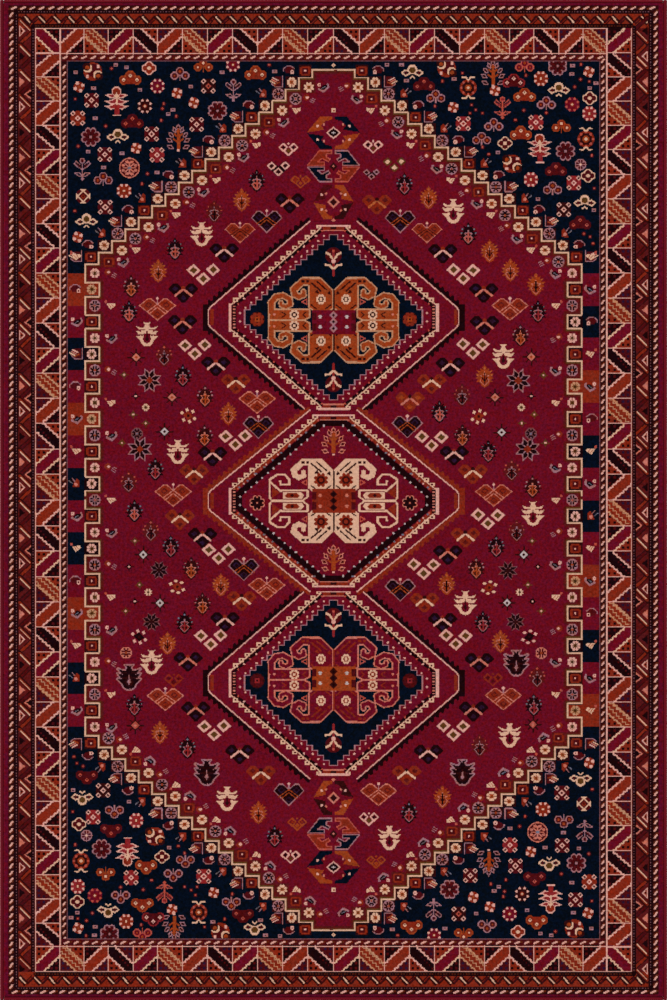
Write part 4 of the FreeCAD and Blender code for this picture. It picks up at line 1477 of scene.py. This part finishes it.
wool, shader, wire = new_material("cut_pile_wool", 0.92, Sheen_Weight=0.02, Sheen_Roughness=0.45,
                                  Specular_IOR_Level=0.0)
place = wire.node("TexCoord", {}, {}, "Object")
yarn = wire.node("Attribute", {"attribute_name": "yarn"}, {}, "Fac")
skeins = [(number / len(YARNS), colour) for number, colour in enumerate(YARNS.values())]
dyed = wire.node("ValToRGB", {"spread": "CONSTANT", "stops": skeins}, {"Fac": yarn})
lots = wire.node("Mapping", {}, {"Vector": place, "Scale": (0.6, 9.0, 1.0)})
abrash = wire.node("TexNoise", {}, {"Vector": lots, "Scale": 1.6, "Detail": 3.0, "Roughness": 0.6})
tuft = wire.node("TexNoise", {}, {"Vector": place, "Scale": 260.0, "Detail": 2.0, "Roughness": 0.75})
fibre = wire.node("TexNoise", {}, {"Vector": place, "Scale": 1500.0, "Detail": 2.0})
combed = wire.node("TexNoise", {}, {"Vector": place, "Scale": 14.0, "Detail": 3.0})
heather = wire.node("TexNoise", {}, {"Vector": place, "Scale": 170.0, "Detail": 2.0, "Roughness": 0.8})
strands = wire.node("TexNoise", {}, {"Vector": place, "Scale": 140.0, "Detail": 1.0})
pale = wire.node("RGBToBW", {}, {"Color": dyed}, "Val")
shade = (heather * 1.8 + tuft * 0.5 + abrash * 0.3 + combed * 0.22 - 1.4) * (1.1 - pale * 1.4) + 1.0
cast = (strands * 4.0 - 1.5).mix((1.06, 0.85, 0.66, 1), (0.94, 1.15, 1.4, 1))
tinge = (pale * 2.2).mix(cast, (1.0, 1.0, 1.0, 1))
tinge.shaded(shade.shaded(dyed)).into(shader, "Base Color")
(1.04 - tuft * 0.25).into(shader, "Roughness")
nap = wire.node("Bump", {}, {"Strength": 0.55, "Distance": 0.0012, "Height": tuft + fibre * 0.35})
nap.into(shader, "Normal")

PILE = {
    "pile_outer_band": "crimson_pile", "pile_outer_guard": "guard_pile", "pile_minor_border": "rust_pile",
    "pile_main_border": "border_pile", "pile_inner_guard": "guard_pile", "pile_corner_head_left": "navy_pile",
    "pile_corner_head_right": "navy_pile", "pile_corner_foot_left": "navy_pile",
    "pile_corner_foot_right": "navy_pile", "pile_side_left": "rust_pile", "pile_side_right": "rust_pile",
    "pile_medallion_head": "navy_pile", "pile_medallion_middle": "navy_pile",
    "pile_medallion_foot": "navy_pile",
    "pile_field": "crimson_pile",
}
for node, slot in PILE.items():
    piece = pile_piece("wool_" + node[5:], node)
    piece.data.materials.append(wool)
    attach(piece, "root")
    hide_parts(node)

# ---------------------------------------------------------------- wrapped edges
# A cotton cord, three strands twisted together, lies along each edge of the weave, and crimson
# yarn is wound over it by machine, one turn beside the next, about three turns to the centimetre.
def wound(name, node, radius, rings_per_turn, turn_length, form):
    """A rod along the middle of a CAD node. form gives the part of the radius at a turn and angle."""
    low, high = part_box(node)
    middle = (low + high) / 2
    axis = 0 if high.x - low.x > high.y - low.y else 1
    length = (high - low)[axis]
    rings = round(length / turn_length) * rings_per_turn + 1
    around = 16
    along = np.linspace(-length / 2, length / 2, rings)[:, None]
    angle = np.linspace(0, math.tau, around, endpoint=False)[None, :]
    end = np.clip((length / 2 - np.abs(along)) / radius, 0, 1)
    reach_at = radius * form(along / turn_length, angle) * np.sqrt(1 - (1 - end) ** 2 * 0.9)
    points = np.zeros((rings, around, 3))
    points[..., axis] = along + middle[axis]
    points[..., 1 - axis] = reach_at * np.cos(angle) + middle[1 - axis]
    points[..., 2] = reach_at * np.sin(angle) + middle.z
    ring, spoke = np.meshgrid(np.arange(rings - 1), np.arange(around), indexing="ij")
    after = (spoke + 1) % around
    corners = np.stack((ring * around + spoke, (ring + 1) * around + spoke,
                        (ring + 1) * around + after, ring * around + after), -1).reshape(-1, 4)
    if axis == 1:
        corners = corners[:, ::-1]
    caps = [tuple(range(around)), tuple(range(rings * around - 1, (rings - 1) * around - 1, -1))]
    mesh = bpy.data.meshes.new(name)
    mesh.from_pydata(points.reshape(-1, 3).tolist(), [], corners.tolist() + caps)
    mesh.shade_smooth()
    piece = bpy.data.objects.new(name, mesh)
    scene.collection.objects.link(piece)
    return piece


def wrap_form(turn, angle):
    """Yarn laid side by side: a groove between turns, which slant a little round the edge."""
    return 0.86 + 0.14 * np.sqrt(np.abs(np.sin(math.pi * (turn + angle / math.tau))))


def strand_form(turn, angle):
    """Three strands twisted together."""
    return 0.8 + 0.2 * np.abs(np.cos(1.5 * (angle - math.tau * turn / 3)))


edging, shader, wire = new_material("wrapped_edge_yarn", 0.9, Sheen_Weight=0.03, Sheen_Roughness=0.5,
                                    Specular_IOR_Level=0.05)
place = wire.node("TexCoord", {}, {}, "Object")
fleck = wire.node("TexNoise", {}, {"Vector": place, "Scale": 900.0, "Detail": 3.0})
patchy = wire.node("TexNoise", {}, {"Vector": place, "Scale": 7.0, "Detail": 3.0})
tint = (fleck * 0.7 + patchy * 0.5 - 0.1).mix((*rgb(82, 8, 20), 1), (*rgb(122, 18, 34), 1))
tint.into(shader, "Base Color")
(0.7 + fleck * 0.3).into(shader, "Roughness")
lint = wire.node("Bump", {}, {"Strength": 0.4, "Distance": 0.0006, "Height": fleck})
lint.into(shader, "Normal")

cotton, shader, wire = new_material("undyed_cotton", 0.88, Sheen_Weight=0.15, Specular_IOR_Level=0.2)
place = wire.node("TexCoord", {}, {}, "Object")
threads = {"Vector": place, "Scale": 90.0, "Distortion": 0.6, "Detail": 1.0, "Detail Scale": 2.0}
warp = wire.node("TexWave", {"bands_direction": "X"}, threads)
weft = wire.node("TexWave", {"bands_direction": "Y"}, threads)
slub = wire.node("TexNoise", {}, {"Vector": place, "Scale": 160.0, "Detail": 3.0})
cloth = warp * weft
tint = (cloth * 0.5 + slub * 0.5).mix((*rgb(176, 162, 134), 1), (*rgb(222, 212, 188), 1))
tint.into(shader, "Base Color")
(0.75 + slub * 0.25).into(shader, "Roughness")
weave = wire.node("Bump", {}, {"Strength": 0.6, "Distance": 0.0008, "Height": cloth + slub * 0.3})
weave.into(shader, "Normal")

CORD_RADIUS, CORD_TWIST = 0.0024, 0.012
WRAP_RADIUS, YARN_PITCH = 0.0045, 0.0031
edges = []
for side in ("left", "right", "head", "foot"):
    cord = wound("cord_" + side, "edge_cord_" + side, CORD_RADIUS, 3, CORD_TWIST, strand_form)
    cord.data.materials.append(cotton)
    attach(cord, "root")
    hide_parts("edge_cord_" + side)
    wrapping = wound("wrap_" + side, "overcast_" + side, WRAP_RADIUS, 4, YARN_PITCH, wrap_form)
    wrapping.data.materials.append(edging)
    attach(wrapping, "root")
    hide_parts("overcast_" + side)
    edges += [cord, wrapping]

# ---------------------------------------------------------------- ground weave and back coat
# Cotton warps and wefts hold the knots; a thin coat of latex brushed over the back keeps them in
# and stops the rug from slipping. Both lie flat, with the small ripples of a woven thing.
CELL_SIZE = 0.012


def slab(name, node, ripple):
    """A thin closed sheet in a CAD node's box, with gentle ripples on its upper face."""
    low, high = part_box(node)
    across = np.linspace(low.x, high.x, round((high.x - low.x) / CELL_SIZE) + 1)
    along = np.linspace(low.y, high.y, round((high.y - low.y) / CELL_SIZE) + 1)
    x, y = np.meshgrid(across, along)
    count = x.size
    wave = ripple * (np.sin(x * 41 + 2 * np.sin(y * 7)) * np.sin(y * 37) - 1)
    points = np.concatenate([np.stack((x, y, np.full_like(x, low.z)), -1).reshape(-1, 3),
                             np.stack((x, y, high.z + wave), -1).reshape(-1, 3)])
    span = len(across)
    row, column = np.meshgrid(np.arange(len(along) - 1), np.arange(span - 1), indexing="ij")
    first = (row * span + column).ravel()
    under = np.stack((first, first + span, first + span + 1, first + 1), 1)
    over = np.stack((first, first + 1, first + span + 1, first + span), 1) + count
    rim = np.concatenate([np.arange(span), np.arange(1, len(along)) * span + span - 1,
                          np.arange(span - 2, -1, -1) + (len(along) - 1) * span,
                          np.arange(len(along) - 2, -1, -1) * span])
    edge = np.stack((rim[:-1], rim[1:], rim[1:] + count, rim[:-1] + count), 1)
    mesh = bpy.data.meshes.new(name)
    mesh.from_pydata(points.tolist(), [], np.concatenate((under, over, edge)).tolist())
    piece = bpy.data.objects.new(name, mesh)
    scene.collection.objects.link(piece)
    return piece


latex, shader, wire = new_material("latex_back_coat", 0.62, Specular_IOR_Level=0.35)
place = wire.node("TexCoord", {}, {}, "Object")
brushed = wire.node("Mapping", {}, {"Vector": place, "Scale": (1.0, 5.0, 1.0)})
streak = wire.node("TexNoise", {}, {"Vector": brushed, "Scale": 24.0, "Detail": 5.0})
scrim = wire.node("TexVoronoi", {"distance": "CHEBYCHEV"},
                  {"Vector": place, "Scale": 260.0, "Randomness": 0.25})
tint = (streak * 0.8 + scrim * 0.4).mix((*rgb(150, 136, 112), 1), (*rgb(196, 184, 160), 1))
tint.into(shader, "Base Color")
(0.5 + streak * 0.3).into(shader, "Roughness")
grain = wire.node("Bump", {}, {"Strength": 0.5, "Distance": 0.0006, "Height": scrim + streak * 0.4})
grain.into(shader, "Normal")

coat = slab("latex_coat", "backing_coat", 0.00006)
coat.data.materials.append(latex)
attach(coat, "root")
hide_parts("backing_coat")
ground_cloth = slab("cotton_ground", "ground_weave", 0.00008)
ground_cloth.data.materials.append(cotton)
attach(ground_cloth, "root")
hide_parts("ground_weave")

low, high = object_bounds()
